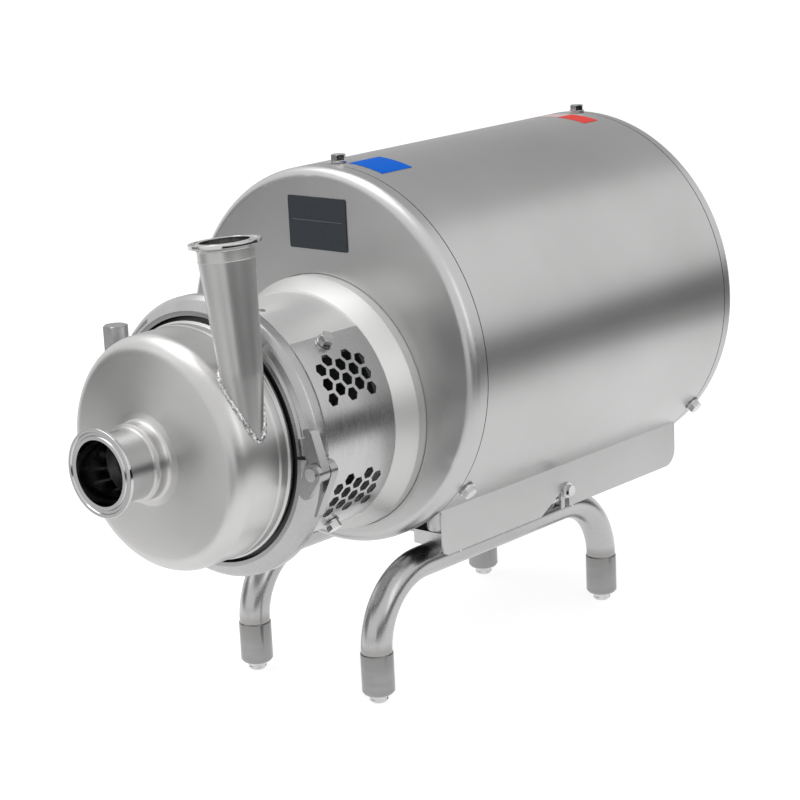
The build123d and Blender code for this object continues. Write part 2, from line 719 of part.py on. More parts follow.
def clamp_upper():
    bore = clamp_bore()
    body = clamp_ring(0.7, 176.6)
    body -= turned([
        (CLAMP_INNER + 5.2, CLAMP_START - 2.0),
        (CLAMP_OUTER - 4.0, CLAMP_START - 2.0),
        (CLAMP_OUTER - 4.0, CLAMP_START + 4.6, 0.6),
        (CLAMP_INNER + 5.2, CLAMP_START + 2.6),
    ], 9.0, 42.0)
    body -= turned([
        (CLAMP_INNER + 5.2, CLAMP_START - 2.0),
        (CLAMP_OUTER - 4.0, CLAMP_START - 2.0),
        (CLAMP_OUTER - 4.0, CLAMP_START + 4.6, 0.6),
        (CLAMP_INNER + 5.2, CLAMP_START + 2.6),
    ], 124.0, 38.0)
    body -= turned([
        (CLAMP_INNER + 2.5, CLAMP_START - 2.0),
        (CLAMP_OUTER + 2.0, CLAMP_START - 2.0),
        (CLAMP_OUTER + 2.0, CLAMP_START + 5.0),
        (CLAMP_INNER + 2.5, CLAMP_START + 2.4, 1.0),
    ], 0.0, 8.4)
    body -= hinge_space(CLAMP_START - 5, EAR_FRONT[0] + EAR_FRONT[1] + CLAMP_CLEARANCE - CLAMP_START + 5,
                        HINGE_EAR_RADIUS + CLAMP_CLEARANCE)
    body -= hinge_space(EAR_REAR[0] - CLAMP_CLEARANCE, CLAMP_END + 5 - EAR_REAR[0],
                        HINGE_EAR_RADIUS + CLAMP_CLEARANCE)
    tongue = lug_outline(HINGE_REACH, -HINGE_DROP, HINGE_EAR_RADIUS - 0.5, HINGE_REACH - 6.5, 16.0, 5.0,
                         TONGUE[0], TONGUE[1])
    body += tongue
    lug = outline_y([
        (-CLAMP_BOLT_REACH + 10.0, CLAMP_CLEARANCE + 4.0),
        (-CLAMP_BOLT_REACH + 10.0, SEAT_LEVEL + 9.0),
        (-CLAMP_BOLT_REACH + 6.0, SEAT_LEVEL + 4.0),
        (-CLAMP_BOLT_REACH - 10.0, SEAT_LEVEL + 4.0, 3.0),
        (-CLAMP_BOLT_REACH - 10.0, SEAT_LEVEL - 9.0, 6.0),
        (-CLAMP_BOLT_REACH - 2.0, CLAMP_CLEARANCE + 4.0, 3.0),
    ], CLOSURE_AT - CLOSURE_HALF, 2 * CLOSURE_HALF)
    seat = rod_y(CLAMP_SEAT_RADIUS, CLOSURE_AT - 40.0, 80.0, -CLAMP_BOLT_REACH, -CLAMP_BOLT_DROP)
    body += lug & seat
    body -= rod_z(CLAMP_NUT_FLATS / sqrt(3) + 1.6, SEAT_LEVEL, SEAT_LEVEL + 70.0,
                  -CLAMP_BOLT_REACH, CLOSURE_AT)
    body -= block(-CLAMP_BOLT_REACH - 30.0, -CLAMP_BOLT_REACH + CLOSURE_SLOT,
                  CLOSURE_AT - CLOSURE_SLOT, CLOSURE_AT + CLOSURE_SLOT, -5.0, SEAT_LEVEL + 5.0)
    body -= hinge_space(CLAMP_START - 10, 60, HINGE_PIN_RADIUS + RUNNING_FIT)
    body -= bore
    return body.solids().sort_by(SortBy.VOLUME)[-1]


def clamp_lower():
    bore = clamp_bore()
    body = clamp_ring(182.7, 176.6)
    body += lug_outline(HINGE_REACH, -HINGE_DROP, HINGE_EAR_RADIUS, HINGE_REACH - 8.0, -24.0, 5.5,
                        EAR_FRONT[0], EAR_FRONT[1])
    body += lug_outline(HINGE_REACH, -HINGE_DROP, HINGE_EAR_RADIUS, HINGE_REACH - 12.0, -42.0, 4.0,
                        EAR_REAR[0], EAR_REAR[1])
    body -= lug_outline(HINGE_REACH, -HINGE_DROP, HINGE_EAR_RADIUS + CLAMP_CLEARANCE, HINGE_REACH - 4.0, 30.0,
                        HINGE_EAR_RADIUS + CLAMP_CLEARANCE,
                        TONGUE[0] - CLAMP_CLEARANCE, TONGUE[1] + 2 * CLAMP_CLEARANCE)
    body += lug_outline(-CLAMP_BOLT_REACH, -CLAMP_BOLT_DROP, CLAMP_BOLT_EYE + 0.6, -CLAMP_BOLT_REACH + 14.0,
                        -48.0, 4.0, CLOSURE_AT - CLOSURE_HALF, 2 * CLOSURE_HALF)
    body -= outline_y([
        (-CLAMP_BOLT_REACH - 30.0, -CLAMP_BOLT_DROP - CLAMP_BOLT_EYE - 1.0),
        (-CLAMP_BOLT_REACH + CLAMP_BOLT_EYE + 1.0, -CLAMP_BOLT_DROP - CLAMP_BOLT_EYE - 1.0, 4.0),
        (-CLAMP_BOLT_REACH + CLAMP_BOLT_EYE + 1.0, 10.0),
        (-CLAMP_BOLT_REACH - 30.0, 10.0),
    ], CLOSURE_AT - CLOSURE_SLOT, 2 * CLOSURE_SLOT)
    body -= hinge_space(CLAMP_START - 10, 60, HINGE_PIN_RADIUS + RUNNING_FIT)
    body -= hinge_space(EAR_REAR[0] + EAR_REAR[1], 20, HINGE_PIN_RADIUS + 1.6)
    body -= rod_y(3.0 + RUNNING_FIT, CLOSURE_AT - 30.0, 60.0, -CLAMP_BOLT_REACH, -CLAMP_BOLT_DROP)
    body -= bore
    return body.solids().sort_by(SortBy.VOLUME)[-1]


def clamp_hinge_pin():
    start = EAR_FRONT[0] - 0.1
    end = EAR_REAR[0] + EAR_REAR[1] + 0.1
    pin = rod_y(HINGE_PIN_RADIUS, start, end - start, HINGE_REACH, -HINGE_DROP)
    pin += rod_y(HINGE_PIN_RADIUS + 1.6, start - 1.6, 1.6, HINGE_REACH, -HINGE_DROP)
    pin += rod_y(HINGE_PIN_RADIUS + 1.2, end, 1.4, HINGE_REACH, -HINGE_DROP)
    return pin


def clamp_bolt_pin():
    start = CLOSURE_AT - CLOSURE_HALF - 0.1
    pin = rod_y(3.0, start, 2 * CLOSURE_HALF + 0.2, -CLAMP_BOLT_REACH, -CLAMP_BOLT_DROP)
    pin += rod_y(4.4, start - 1.4, 1.4, -CLAMP_BOLT_REACH, -CLAMP_BOLT_DROP)
    pin += rod_y(4.4, start + 2 * CLOSURE_HALF + 0.2, 1.4, -CLAMP_BOLT_REACH, -CLAMP_BOLT_DROP)
    return pin


def clamp_swing_bolt():
    top = SEAT_LEVEL + CLAMP_WASHER_THICKNESS + 24.0
    half = CLAMP_BOLT_RADIUS + 0.4
    eye = rod_y(CLAMP_BOLT_EYE, CLOSURE_AT - half, 2 * half, -CLAMP_BOLT_REACH, -CLAMP_BOLT_DROP)
    bolt = eye + rod_z(CLAMP_BOLT_RADIUS, -CLAMP_BOLT_DROP + 2.0, top, -CLAMP_BOLT_REACH, CLOSURE_AT)
    return bolt - rod_y(3.0 + RUNNING_FIT, CLOSURE_AT - 20.0, 40.0, -CLAMP_BOLT_REACH, -CLAMP_BOLT_DROP)


def clamp_washer():
    low = SEAT_LEVEL + RUNNING_FIT
    washer = rod_z(CLAMP_NUT_FLATS / sqrt(3) + 0.4, low, low + CLAMP_WASHER_THICKNESS)
    washer -= rod_z(CLAMP_BOLT_RADIUS + RUNNING_FIT, low - 1, low + 9)
    return Pos(-CLAMP_BOLT_REACH, CLOSURE_AT, 0) * washer


def clamp_nut():
    low = SEAT_LEVEL + CLAMP_WASHER_THICKNESS + 2 * RUNNING_FIT
    nut = hexagon(CLAMP_NUT_FLATS, low, low + CLAMP_NUT_LENGTH, 1.0)
    nut -= rod_z(CLAMP_BOLT_RADIUS + RUNNING_FIT, low - 1, low + CLAMP_NUT_LENGTH - 6.0)
    return Pos(-CLAMP_BOLT_REACH, CLOSURE_AT, 0) * nut


# Lantern between pump and motor, with side windows under perforated guards

GUARD_AT = LANTERN_AT + GUARD_START
GUARD_END = MOTOR_AT - LANTERN_REAR_RIM - LANTERN_FLARE_LENGTH
WINDOW_AT = GUARD_AT + 9.0
SCREW_AT = WINDOW_AT + 24.5
SCREW_ANGLES = (WINDOW_HIGH + 5.0, WINDOW_LOW - 5.0)


def lantern():
    barrel = LANTERN_RADIUS
    inner = barrel - LANTERN_WALL
    flank = (FLANGE_RADIUS - barrel) * CLAMP_SLOPE
    rear = MOTOR_AT - LANTERN_WEB
    body = turned([
        (inner - 10.0, LANTERN_AT + SEATED_FIT),
        (FLANGE_RADIUS, LANTERN_AT + SEATED_FIT, 0.4),
        (FLANGE_RADIUS, LANTERN_FLANGE_END - (FLANGE_RADIUS - CASING_RADIUS) * CLAMP_SLOPE, 0.5),
        (barrel, LANTERN_FLANGE_END - (barrel - CASING_RADIUS) * CLAMP_SLOPE, 1.0),
        (barrel, GUARD_AT - 1.0),
        (barrel, GUARD_END),
        (barrel + 1.1, GUARD_END + 0.5),
        (LANTERN_FLARE_RADIUS, GUARD_END + LANTERN_FLARE_LENGTH, 1.5),
        (LANTERN_FLARE_RADIUS, MOTOR_AT - SEATED_FIT),
        (MOTOR_SPIGOT_RADIUS + SEATED_FIT, MOTOR_AT - SEATED_FIT),
        (MOTOR_SPIGOT_RADIUS + SEATED_FIT, rear, 1.0),
        (inner - 2.0, rear, 4.0),
        (inner, rear - 8.0, 6.0),
        (inner, LANTERN_AT + 12.0, 2.0),
        (inner - 10.0, LANTERN_AT + 6.0, 2.0),
    ])
    for start in (WINDOW_LOW, 180 - WINDOW_HIGH):
        body -= turned([
            (inner - 20.0, WINDOW_AT),
            (barrel + 3.0, WINDOW_AT),
            (barrel + 3.0, WINDOW_AT + WINDOW_LENGTH),
            (inner - 20.0, WINDOW_AT + WINDOW_LENGTH),
        ], start, WINDOW_HIGH - WINDOW_LOW)
    for angle in SCREW_ANGLES:
        hole = radial(angle, barrel - 4.0, SCREW_AT, Cylinder(3.0 + SEATED_FIT, 12.0))
        body -= hole
        body -= mirror_left(hole)
    body -= radial(79.6, barrel - 4.0, GUARD_AT + 17.9, Cylinder(2.9, 16.0))
    for angle in (45, 135, 225, 315):
        x = MOTOR_BOLT_CIRCLE_RADIUS * cos(radians(angle))
        z = MOTOR_BOLT_CIRCLE_RADIUS * sin(radians(angle))
        body -= rod_y(5.0 + SEATED_FIT, MOTOR_AT - 9.0, 20.0, x, z)
    body -= rod_z(5.0, -barrel - 5, -inner + 5, 0, LANTERN_AT + 30.0)
    return body


def lantern_bolts():
    bolts = []
    start = MOTOR_AT + MOTOR_FLANGE_THICKNESS + SEATED_FIT
    for angle in (45, 135, 225, 315):
        x = MOTOR_BOLT_CIRCLE_RADIUS * cos(radians(angle))
        z = MOTOR_BOLT_CIRCLE_RADIUS * sin(radians(angle))
        bolt = hexagon(16.0, 0, 6.4, 0.8) + Pos(0, 0, -9.5) * Cylinder(5.0, 19.0)
        bolts.append(Pos(x, start, z) * Rot(-90, 0, 0) * bolt)
    return bolts


def hexagon_places():
    places = []
    for column in range(5):
        shift = HEXAGON_ROW / 2 if column % 2 else 0
        station = GUARD_AT + 14.9 + HEXAGON_COLUMN * column
        lower = GUARD_AT + 17.4 + HEXAGON_COLUMN * column
        for row in range(3):
            places.append((27.2 + shift + HEXAGON_ROW * (row - 1), station))
            places.append((-31.1 + shift + HEXAGON_ROW * (row - 1), lower))
    return places


def guard_right():
    inner = LANTERN_RADIUS + SEATED_FIT
    outer = inner + GUARD_SHEET
    sheet = turned([
        (inner, GUARD_AT),
        (outer, GUARD_AT),
        (outer, GUARD_END - 0.3),
        (inner, GUARD_END - 0.3),
    ], GUARD_LOW, GUARD_HIGH - GUARD_LOW)
    cutter = Rot(0, 0, 30) * hexagon(HEXAGON_FLATS, -5.0, 5.0)
    holes = [radial(angle, outer, station, cutter) for angle, station in hexagon_places()]
    holes += [radial(angle, outer, SCREW_AT, Cylinder(3.3, 10.0)) for angle in SCREW_ANGLES]
    return sheet - holes


def guard_screws():
    screws = []
    outer = LANTERN_RADIUS + 2 * SEATED_FIT + GUARD_SHEET
    for angle in SCREW_ANGLES:
        bolt = washer_bolt(10.0, 4.4, 6.4, 1.6, 3.0, 9.0)
        screw = radial(angle, outer + 0.25, SCREW_AT, bolt)
        screws.append(screw)
        screws.append(mirror_left(screw))
    return screws


# Electric motor inside the shroud

FRAME_AT = MOTOR_AT + 24.0
FRAME_END = FRAME_AT + MOTOR_FRAME_LENGTH
BEARING_AT = MOTOR_AT + 13.2
REAR_BEARING_AT = FRAME_END + 2.0
CORE_AT = FRAME_AT + 28.0
FOOT_AT = MOTOR_AT + MOTOR_FOOT_START


def motor_front_shield():
    frame = MOTOR_FRAME_RADIUS - MOTOR_FRAME_WALL
    body = turned([
        (12.5, BEARING_AT - 3.0),
        (12.5, MOTOR_AT - 3.5),
        (MOTOR_SPIGOT_RADIUS, MOTOR_AT - 3.5, 0.8),
        (MOTOR_SPIGOT_RADIUS, MOTOR_AT),
        (MOTOR_FLANGE_RADIUS, MOTOR_AT, 0.8),
        (MOTOR_FLANGE_RADIUS, MOTOR_AT + MOTOR_FLANGE_THICKNESS, 1.5),
        (MOTOR_FRAME_RADIUS + 2.0, MOTOR_AT + MOTOR_FLANGE_THICKNESS, 3.0),
        (MOTOR_FRAME_RADIUS, FRAME_AT - SEATED_FIT),
        (frame - SEATED_FIT, FRAME_AT - SEATED_FIT),
        (frame - SEATED_FIT, FRAME_AT + 5.0),
        (frame - 6.0, FRAME_AT + 5.0),
        (frame - 6.0, MOTOR_AT + MOTOR_FLANGE_THICKNESS, 3.0),
        (BEARING_RADIUS + 6.0, MOTOR_AT + MOTOR_FLANGE_THICKNESS, 3.0),
        (BEARING_RADIUS + 6.0, BEARING_AT + BEARING_WIDTH + 1.0),
        (BEARING_RADIUS + SEATED_FIT, BEARING_AT + BEARING_WIDTH + 1.0),
        (BEARING_RADIUS + SEATED_FIT, BEARING_AT - SEATED_FIT),
        (19.0, BEARING_AT - SEATED_FIT),
        (19.0, BEARING_AT - 3.0),
    ])
    for angle in (45, 135, 225, 315):
        x = MOTOR_BOLT_CIRCLE_RADIUS * cos(radians(angle))
        z = MOTOR_BOLT_CIRCLE_RADIUS * sin(radians(angle))
        body -= rod_y(6.0, MOTOR_AT - 5.0, 30.0, x, z)
    return body


def motor_rear_shield():
    frame = MOTOR_FRAME_RADIUS - MOTOR_FRAME_WALL
    start = FRAME_END + SEATED_FIT
    return turned([
        (12.5, REAR_BEARING_AT + BEARING_WIDTH + 4.0),
        (12.5, REAR_BEARING_AT + BEARING_WIDTH + 0.1),
        (BEARING_RADIUS + SEATED_FIT, REAR_BEARING_AT + BEARING_WIDTH + 0.1),
        (BEARING_RADIUS + SEATED_FIT, start - 6.0),
        (BEARING_RADIUS + 6.0, start - 6.0),
        (BEARING_RADIUS + 6.0, start + 3.0, 2.0),
        (frame - 6.0, start + 3.0, 2.0),
        (frame - 6.0, start - 5.0),
        (frame - SEATED_FIT, start - 5.0),
        (frame - SEATED_FIT, start),
        (MOTOR_FRAME_RADIUS, start),
        (MOTOR_FRAME_RADIUS, start + 8.0, 3.0),
        (BEARING_RADIUS + 8.0, start + 10.0, 4.0),
        (BEARING_RADIUS + 5.0, REAR_BEARING_AT + BEARING_WIDTH + 4.0, 1.0),
    ])


def motor_frame():
    body = ring(MOTOR_FRAME_RADIUS - MOTOR_FRAME_WALL, MOTOR_FRAME_RADIUS, FRAME_AT, MOTOR_FRAME_LENGTH)
    foot_end = FOOT_AT + MOTOR_FOOT_SPACING + 15.0
    for side in (-1, 1):
        x = side * MOTOR_FOOT_OFFSET
        body += block(x - 16.0, x + 16.0, FOOT_AT - 15.0, foot_end, -MOTOR_CENTRE_HEIGHT,
                      -MOTOR_CENTRE_HEIGHT + 9.0)
        web = outline_y([
            (side * (MOTOR_FOOT_OFFSET - 20.0), -MOTOR_CENTRE_HEIGHT + 1.0),
            (side * (MOTOR_FOOT_OFFSET - 12.0), -MOTOR_CENTRE_HEIGHT + 1.0),
            (side * (MOTOR_FOOT_OFFSET - 17.0), -MOTOR_CENTRE_HEIGHT + 38.0),
            (side * (MOTOR_FOOT_OFFSET - 27.0), -MOTOR_CENTRE_HEIGHT + 32.0),
        ], FOOT_AT - 15.0, foot_end - FOOT_AT + 15.0)
        body += web
    fins = []
    for angle in (-30, -20, -10, 0, 10, 20, 30, 40, 50, 60):
        fin = radial(angle, MOTOR_FRAME_RADIUS - 1.0 + MOTOR_FIN_HEIGHT / 2,
                     FRAME_AT + MOTOR_FRAME_LENGTH / 2,
                     Box(2.4, MOTOR_FRAME_LENGTH - 6.0, MOTOR_FIN_HEIGHT + 2.0))
        fins.append(fin)
        fins.append(mirror_left(fin))
    for angle in (-80, -90, -100):
        fins.append(radial(angle, MOTOR_FRAME_RADIUS - 1.0 + MOTOR_FIN_HEIGHT / 2,
                           FRAME_AT + MOTOR_FRAME_LENGTH / 2,
                           Box(2.4, MOTOR_FRAME_LENGTH - 6.0, MOTOR_FIN_HEIGHT + 2.0)))
    body += fins
    body += block(-30.0, 30.0, BOX_AT + 6.0, BOX_AT + BOX_LENGTH - 6.0, MOTOR_FRAME_RADIUS - 8.0, BOX_LOW)
    body -= rod_z(12.0, MOTOR_FRAME_RADIUS - 20.0, BOX_LOW + 5.0, 0, BOX_AT + BOX_LENGTH / 2)
    body -= rod_y(MOTOR_FRAME_RADIUS - MOTOR_FRAME_WALL, FRAME_AT - 1.0, MOTOR_FRAME_LENGTH + 2.0)
    for x, y in foot_places():
        body -= rod_z(5.0, -MOTOR_CENTRE_HEIGHT - 5.0, -MOTOR_CENTRE_HEIGHT + 15.0, x, y)
    return body


BOX_AT = FRAME_AT + 8.0
BOX_LOW = MOTOR_FRAME_RADIUS + MOTOR_FIN_HEIGHT + 3.0


def foot_places():
    return [(side * MOTOR_FOOT_OFFSET, FOOT_AT + shift) for side in (-1, 1) for shift in (0, MOTOR_FOOT_SPACING)]


def stator_core():
    outer = MOTOR_FRAME_RADIUS - MOTOR_FRAME_WALL - SEATED_FIT
    body = ring(AIR_GAP_RADIUS, outer, CORE_AT, CORE_LENGTH)
    slots = []
    for i in range(12):
        slots.append(radial(30 * i, AIR_GAP_RADIUS + 10.0, CORE_AT + CORE_LENGTH / 2,
                            Box(6.0, CORE_LENGTH + 4.0, 10.0)))
    return body - slots


def stator_windings():
    mean = AIR_GAP_RADIUS + 10.0
    parts = []
    for start in (CORE_AT - 15.0, CORE_AT + CORE_LENGTH + 0.5):
        parts.append(turned([
            (mean - 7.0, start, 3.0),
            (mean + 8.0, start, 3.0),
            (mean + 8.0, start + 14.5, 3.0),
            (mean - 7.0, start + 14.5, 3.0),
        ]))
    body = parts[0] + parts[1]
    bars = []
    for i in range(12):
        bars.append(radial(30 * i, mean, CORE_AT + CORE_LENGTH / 2, Box(5.6, CORE_LENGTH + 6.0, 9.6)))
    return body + bars


def rotor_core():
    return turned([
        (MOTOR_SHAFT_RADIUS + 0.5 + SEATED_FIT, CORE_AT),
        (AIR_GAP_RADIUS - 0.4, CORE_AT, 1.0),
        (AIR_GAP_RADIUS - 0.4, CORE_AT + CORE_LENGTH, 1.0),
        (MOTOR_SHAFT_RADIUS + 0.5 + SEATED_FIT, CORE_AT + CORE_LENGTH),
    ])


FAN_AT = FRAME_END + FAN_DISTANCE


def motor_shaft():
    nose = MOTOR_AT - MOTOR_SHAFT_LENGTH
    body = turned([
        (0, nose),
        (MOTOR_SHAFT_RADIUS, nose, 0.8),
        (MOTOR_SHAFT_RADIUS, MOTOR_AT),
        (MOTOR_SHAFT_RADIUS + 0.5, MOTOR_AT),
        (MOTOR_SHAFT_RADIUS + 0.5, REAR_BEARING_AT + BEARING_WIDTH),
        (MOTOR_SHAFT_RADIUS - 2.0, REAR_BEARING_AT + BEARING_WIDTH),
        (MOTOR_SHAFT_RADIUS - 2.0, FAN_AT + FAN_HUB_LENGTH + 2.0, 0.8),
        (0, FAN_AT + FAN_HUB_LENGTH + 2.0),
    ])
    return body - block(-3.0, 3.0, nose + 4.0, MOTOR_AT - 8.0, MOTOR_SHAFT_RADIUS - 3.5, MOTOR_SHAFT_RADIUS + 5.0)


def shaft_key():
    nose = MOTOR_AT - MOTOR_SHAFT_LENGTH
    return block(-2.98, 2.98, nose + 4.1, MOTOR_AT - 8.1, MOTOR_SHAFT_RADIUS - 3.45, MOTOR_SHAFT_RADIUS + 2.5)


def bearing(start):
    inner = MOTOR_SHAFT_RADIUS + 0.5 + RUNNING_FIT
    return turned([
        (inner, start),
        (inner + 3.6, start, 0.4),
        (inner + 3.9, start + 0.8),
        (BEARING_RADIUS - 3.4, start + 0.8),
        (BEARING_RADIUS - 3.1, start),
        (BEARING_RADIUS, start, 0.6),
        (BEARING_RADIUS, start + BEARING_WIDTH, 0.6),
        (BEARING_RADIUS - 3.1, start + BEARING_WIDTH),
        (BEARING_RADIUS - 3.4, start + BEARING_WIDTH - 0.8),
        (inner + 3.9, start + BEARING_WIDTH - 0.8),
        (inner + 3.6, start + BEARING_WIDTH),
        (inner, start + BEARING_WIDTH),
    ])


def fan():
    hub = MOTOR_SHAFT_RADIUS + 5.0
    body = ring(MOTOR_SHAFT_RADIUS - 2.0 + SEATED_FIT, hub, FAN_AT, FAN_HUB_LENGTH)
    body += ring(hub - 1.0, FAN_RADIUS, FAN_AT, 2.4)
    blades = []
    for i in range(8):
        blades.append(radial(45 * i, (hub + FAN_RADIUS - 2.0) / 2, FAN_AT + FAN_HUB_LENGTH / 2,
                             Box(2.2, FAN_HUB_LENGTH, FAN_RADIUS - hub)))
    body += blades
    return body - rod_y(MOTOR_SHAFT_RADIUS - 2.0 + SEATED_FIT, FAN_AT - 5.0, FAN_HUB_LENGTH + 10.0)


def fan_cowl():
    start = FRAME_END - 8.0
    outer = MOTOR_FRAME_RADIUS + MOTOR_FIN_HEIGHT + COWL_SHEET + 0.1
    end = start + COWL_LENGTH
    body = turned([
        (0, end - 1.2),
        (outer - 5.2, end - 1.2, 4.0),
        (outer - COWL_SHEET, end - 6.0, 4.0),
        (outer - COWL_SHEET, start),
        (outer, start),
        (outer, end - 5.0, 5.0),
        (outer - 5.0, end, 5.0),
        (0, end),
    ])
    slots = []
    for x in range(-40, 41, 10):
        half = sqrt(52.0 ** 2 - x ** 2) if abs(x) > 5 else 52.0
        slots.append(block(x - 2.5, x + 2.5, end - 4.0, end + 2.0, 6.0, half))
        slots.append(block(x - 2.5, x + 2.5, end - 4.0, end + 2.0, -half, -6.0))
    return body - slots


def terminal_box():
    low = BOX_LOW + SEATED_FIT
    half = BOX_WIDTH / 2
    body = block(-half, half, BOX_AT, BOX_AT + BOX_LENGTH, low, low + BOX_HEIGHT)
    body = fillet(body.edges().filter_by(Axis.Z), 6.0)
    body -= block(-half + 3, half - 3, BOX_AT + 3, BOX_AT + BOX_LENGTH - 3, low + 3, low + BOX_HEIGHT + 1)
    body -= rod_z(12.0, low - 1, low + 5, 0, BOX_AT + BOX_LENGTH / 2)
    gland = Pos(half, BOX_AT + BOX_LENGTH / 2, low + BOX_HEIGHT / 2) * Rot(0, 90, 0) * Cylinder(8.05, 20.0)
    return body - mirror_left(gland)


def terminal_lid():
    low = BOX_LOW + 2 * SEATED_FIT + BOX_HEIGHT
    half = BOX_WIDTH / 2
    lid = block(-half, half, BOX_AT, BOX_AT + BOX_LENGTH, low, low + 5.0)
    lid = fillet(lid.edges().filter_by(Axis.Z), 6.0)
    lid = chamfer(lid.faces().sort_by(Axis.Z)[-1].edges(), 1.2)
    return lid


def cable_gland():
    half = BOX_WIDTH / 2
    body = Pos(0, 0, -3.5) * Cylinder(8.0, 9.0)
    body += hexagon(20.0, 0.05, 6.0)
    body += hexagon(20.0, 8.0, 18.0, 1.2)
    body += Pos(0, 0, 7.0) * Cylinder(8.0, 4.0)
    body -= Pos(0, 0, 8.0) * Cylinder(4.5, 40.0)
    low = BOX_LOW + SEATED_FIT
    return Pos(-half, BOX_AT + BOX_LENGTH / 2, low + BOX_HEIGHT / 2) * Rot(0, -90, 0) * body


# Shroud around the motor, set higher than the pump axis

def shroud_front_cover():
    outer = SHROUD_RADIUS
    sheet = SHROUD_SHEET
    opening = LANTERN_FLARE_RADIUS + 0.5
    face = [
        (0, SHROUD_AT),
        (outer, SHROUD_AT, SHROUD_FRONT_ROUND),
        (outer, WRAP_AT),
        (outer - sheet - 0.1, WRAP_AT),
        (outer - sheet - 0.1, WRAP_AT + SHROUD_TONGUE),
        (outer - 2 * sheet - 0.1, WRAP_AT + SHROUD_TONGUE),
        (outer - 2 * sheet - 0.1, WRAP_AT - 1.5),
        (outer - sheet, WRAP_AT - 3.0),
        (outer - sheet, SHROUD_AT + sheet, SHROUD_FRONT_ROUND - sheet),
        (0, SHROUD_AT + sheet),
    ]
    body = Pos(0, 0, SHROUD_RISE) * turned(face)
    body -= rod_y(opening, SHROUD_AT - 5.0, 20.0)
    body -= block(-SKIRT_HALF_WIDTH + 3.0, SKIRT_HALF_WIDTH - 3.0, WRAP_AT, WRAP_AT + 40.0,
                  SHROUD_RISE - outer - 5.0, SHROUD_RISE - outer * 0.6)
    for angle in SHROUD_BOLT_ANGLES:
        body -= radial(angle, outer, SHROUD_FRONT_BOLT, Cylinder(3.0 + SEATED_FIT, 14.0), SHROUD_RISE)
    return body


SHROUD_BOLT_ANGLES = (90.0, -39.5, 219.5)
SHROUD_FRONT_BOLT = WRAP_AT + 9.9
SHROUD_REAR_BOLT = WRAP_END - 1.0


def shroud_wrap():
    outer = SHROUD_RADIUS
    sheet = SHROUD_SHEET
    half = SKIRT_HALF_WIDTH
    top = SHROUD_RISE + outer
    out_z = SHROUD_RISE - sqrt(outer ** 2 - half ** 2)
    inner = outer - sheet
    in_z = SHROUD_RISE - sqrt(inner ** 2 - (half - sheet) ** 2)
    low = -SKIRT_BOTTOM
    edges = [
        Line((half, -low), (half, -out_z)),
        ThreePointArc((half, -out_z), (0, -top), (-half, -out_z)),
        Line((-half, -out_z), (-half, -low)),
        Line((-half, -low), (-half + sheet, -low)),
        Line((-half + sheet, -low), (-half + sheet, -in_z)),
        ThreePointArc((-half + sheet, -in_z), (0, -top + sheet), (half - sheet, -in_z)),
        Line((half - sheet, -in_z), (half - sheet, -low)),
        Line((half - sheet, -low), (half, -low)),
    ]
    face = make_face(Wire(edges))
    start = WRAP_AT + 0.2
    end = WRAP_END - 0.2
    body = Pos(0, start, 0) * Rot(-90, 0, 0) * extrude(face, end - start)
    front = start + 2.2
    notch = TRAY_BOLT_AT - 7.5
    keep = outline_x([
        (start, low + 37.0),
        (front, low + 33.0),
        (front, low, 7.0),
        (notch - 26.0, low),
        (notch, low + 14.0),
        (notch, low),
        (end, low, 13.0),
        (end, top + 10.0),
        (start, top + 10.0),
    ], -outer - 5.0, 2 * outer + 10.0)
    body = body & keep
    for side in (-1, 1):
        x = side * half
        body -= block(x - 5, x + 5, TRAY_BOLT_AT - 2.9, TRAY_BOLT_AT + 2.9, low - 5.0, -TRAY_BOLT_DROP)
        body -= Pos(x, TRAY_BOLT_AT, -TRAY_BOLT_DROP) * Rot(0, 90, 0) * Cylinder(2.9 + 0.4, 10.0)
    for angle in SHROUD_BOLT_ANGLES:
        body -= radial(angle, outer, SHROUD_FRONT_BOLT, Cylinder(3.3, 14.0), SHROUD_RISE)
        body -= radial(angle, outer, SHROUD_REAR_BOLT + 5.0, Box(6.6, 10.0, 14.0), SHROUD_RISE)
        body -= radial(angle, outer, SHROUD_REAR_BOLT, Cylinder(3.3, 14.0), SHROUD_RISE)
    return body


def shroud_rear_cover():
    outer = SHROUD_RADIUS
    sheet = SHROUD_SHEET
    body = Pos(0, 0, SHROUD_RISE) * turned([
        (0, TOTAL_LENGTH),
        (outer, TOTAL_LENGTH, SHROUD_REAR_ROUND),
        (outer, WRAP_END),
        (outer - sheet - 0.1, WRAP_END),
        (outer - sheet - 0.1, WRAP_END - SHROUD_TONGUE),
        (outer - 2 * sheet - 0.1, WRAP_END - SHROUD_TONGUE),
        (outer - 2 * sheet - 0.1, WRAP_END + 1.5),
        (outer - sheet, WRAP_END + 3.0),
        (outer - sheet, TOTAL_LENGTH - sheet, SHROUD_REAR_ROUND - sheet),
        (0, TOTAL_LENGTH - sheet),
    ])
    body -= block(-SKIRT_HALF_WIDTH + 3.0, SKIRT_HALF_WIDTH - 3.0, WRAP_END - 40.0, WRAP_END,
                  SHROUD_RISE - outer - 5.0, SHROUD_RISE - outer * 0.6)
    for angle in SHROUD_BOLT_ANGLES:
        body -= radial(angle, outer, SHROUD_REAR_BOLT, Cylinder(3.0 + SEATED_FIT, 14.0), SHROUD_RISE)
    slots = []
    for row in range(6):
        z = -52.0 + 11.0 * row
        for side in (-1, 1):
            x = side * 30.0
            slots.append(block(x - 20.0, x + 20.0, TOTAL_LENGTH - 6.0, TOTAL_LENGTH + 2.0, z - 2.5, z + 2.5))
            for end in (-20.0, 20.0):
                slots.append(rod_y(2.5, TOTAL_LENGTH - 6.0, 8.0, x + end, z))
    return body - slots


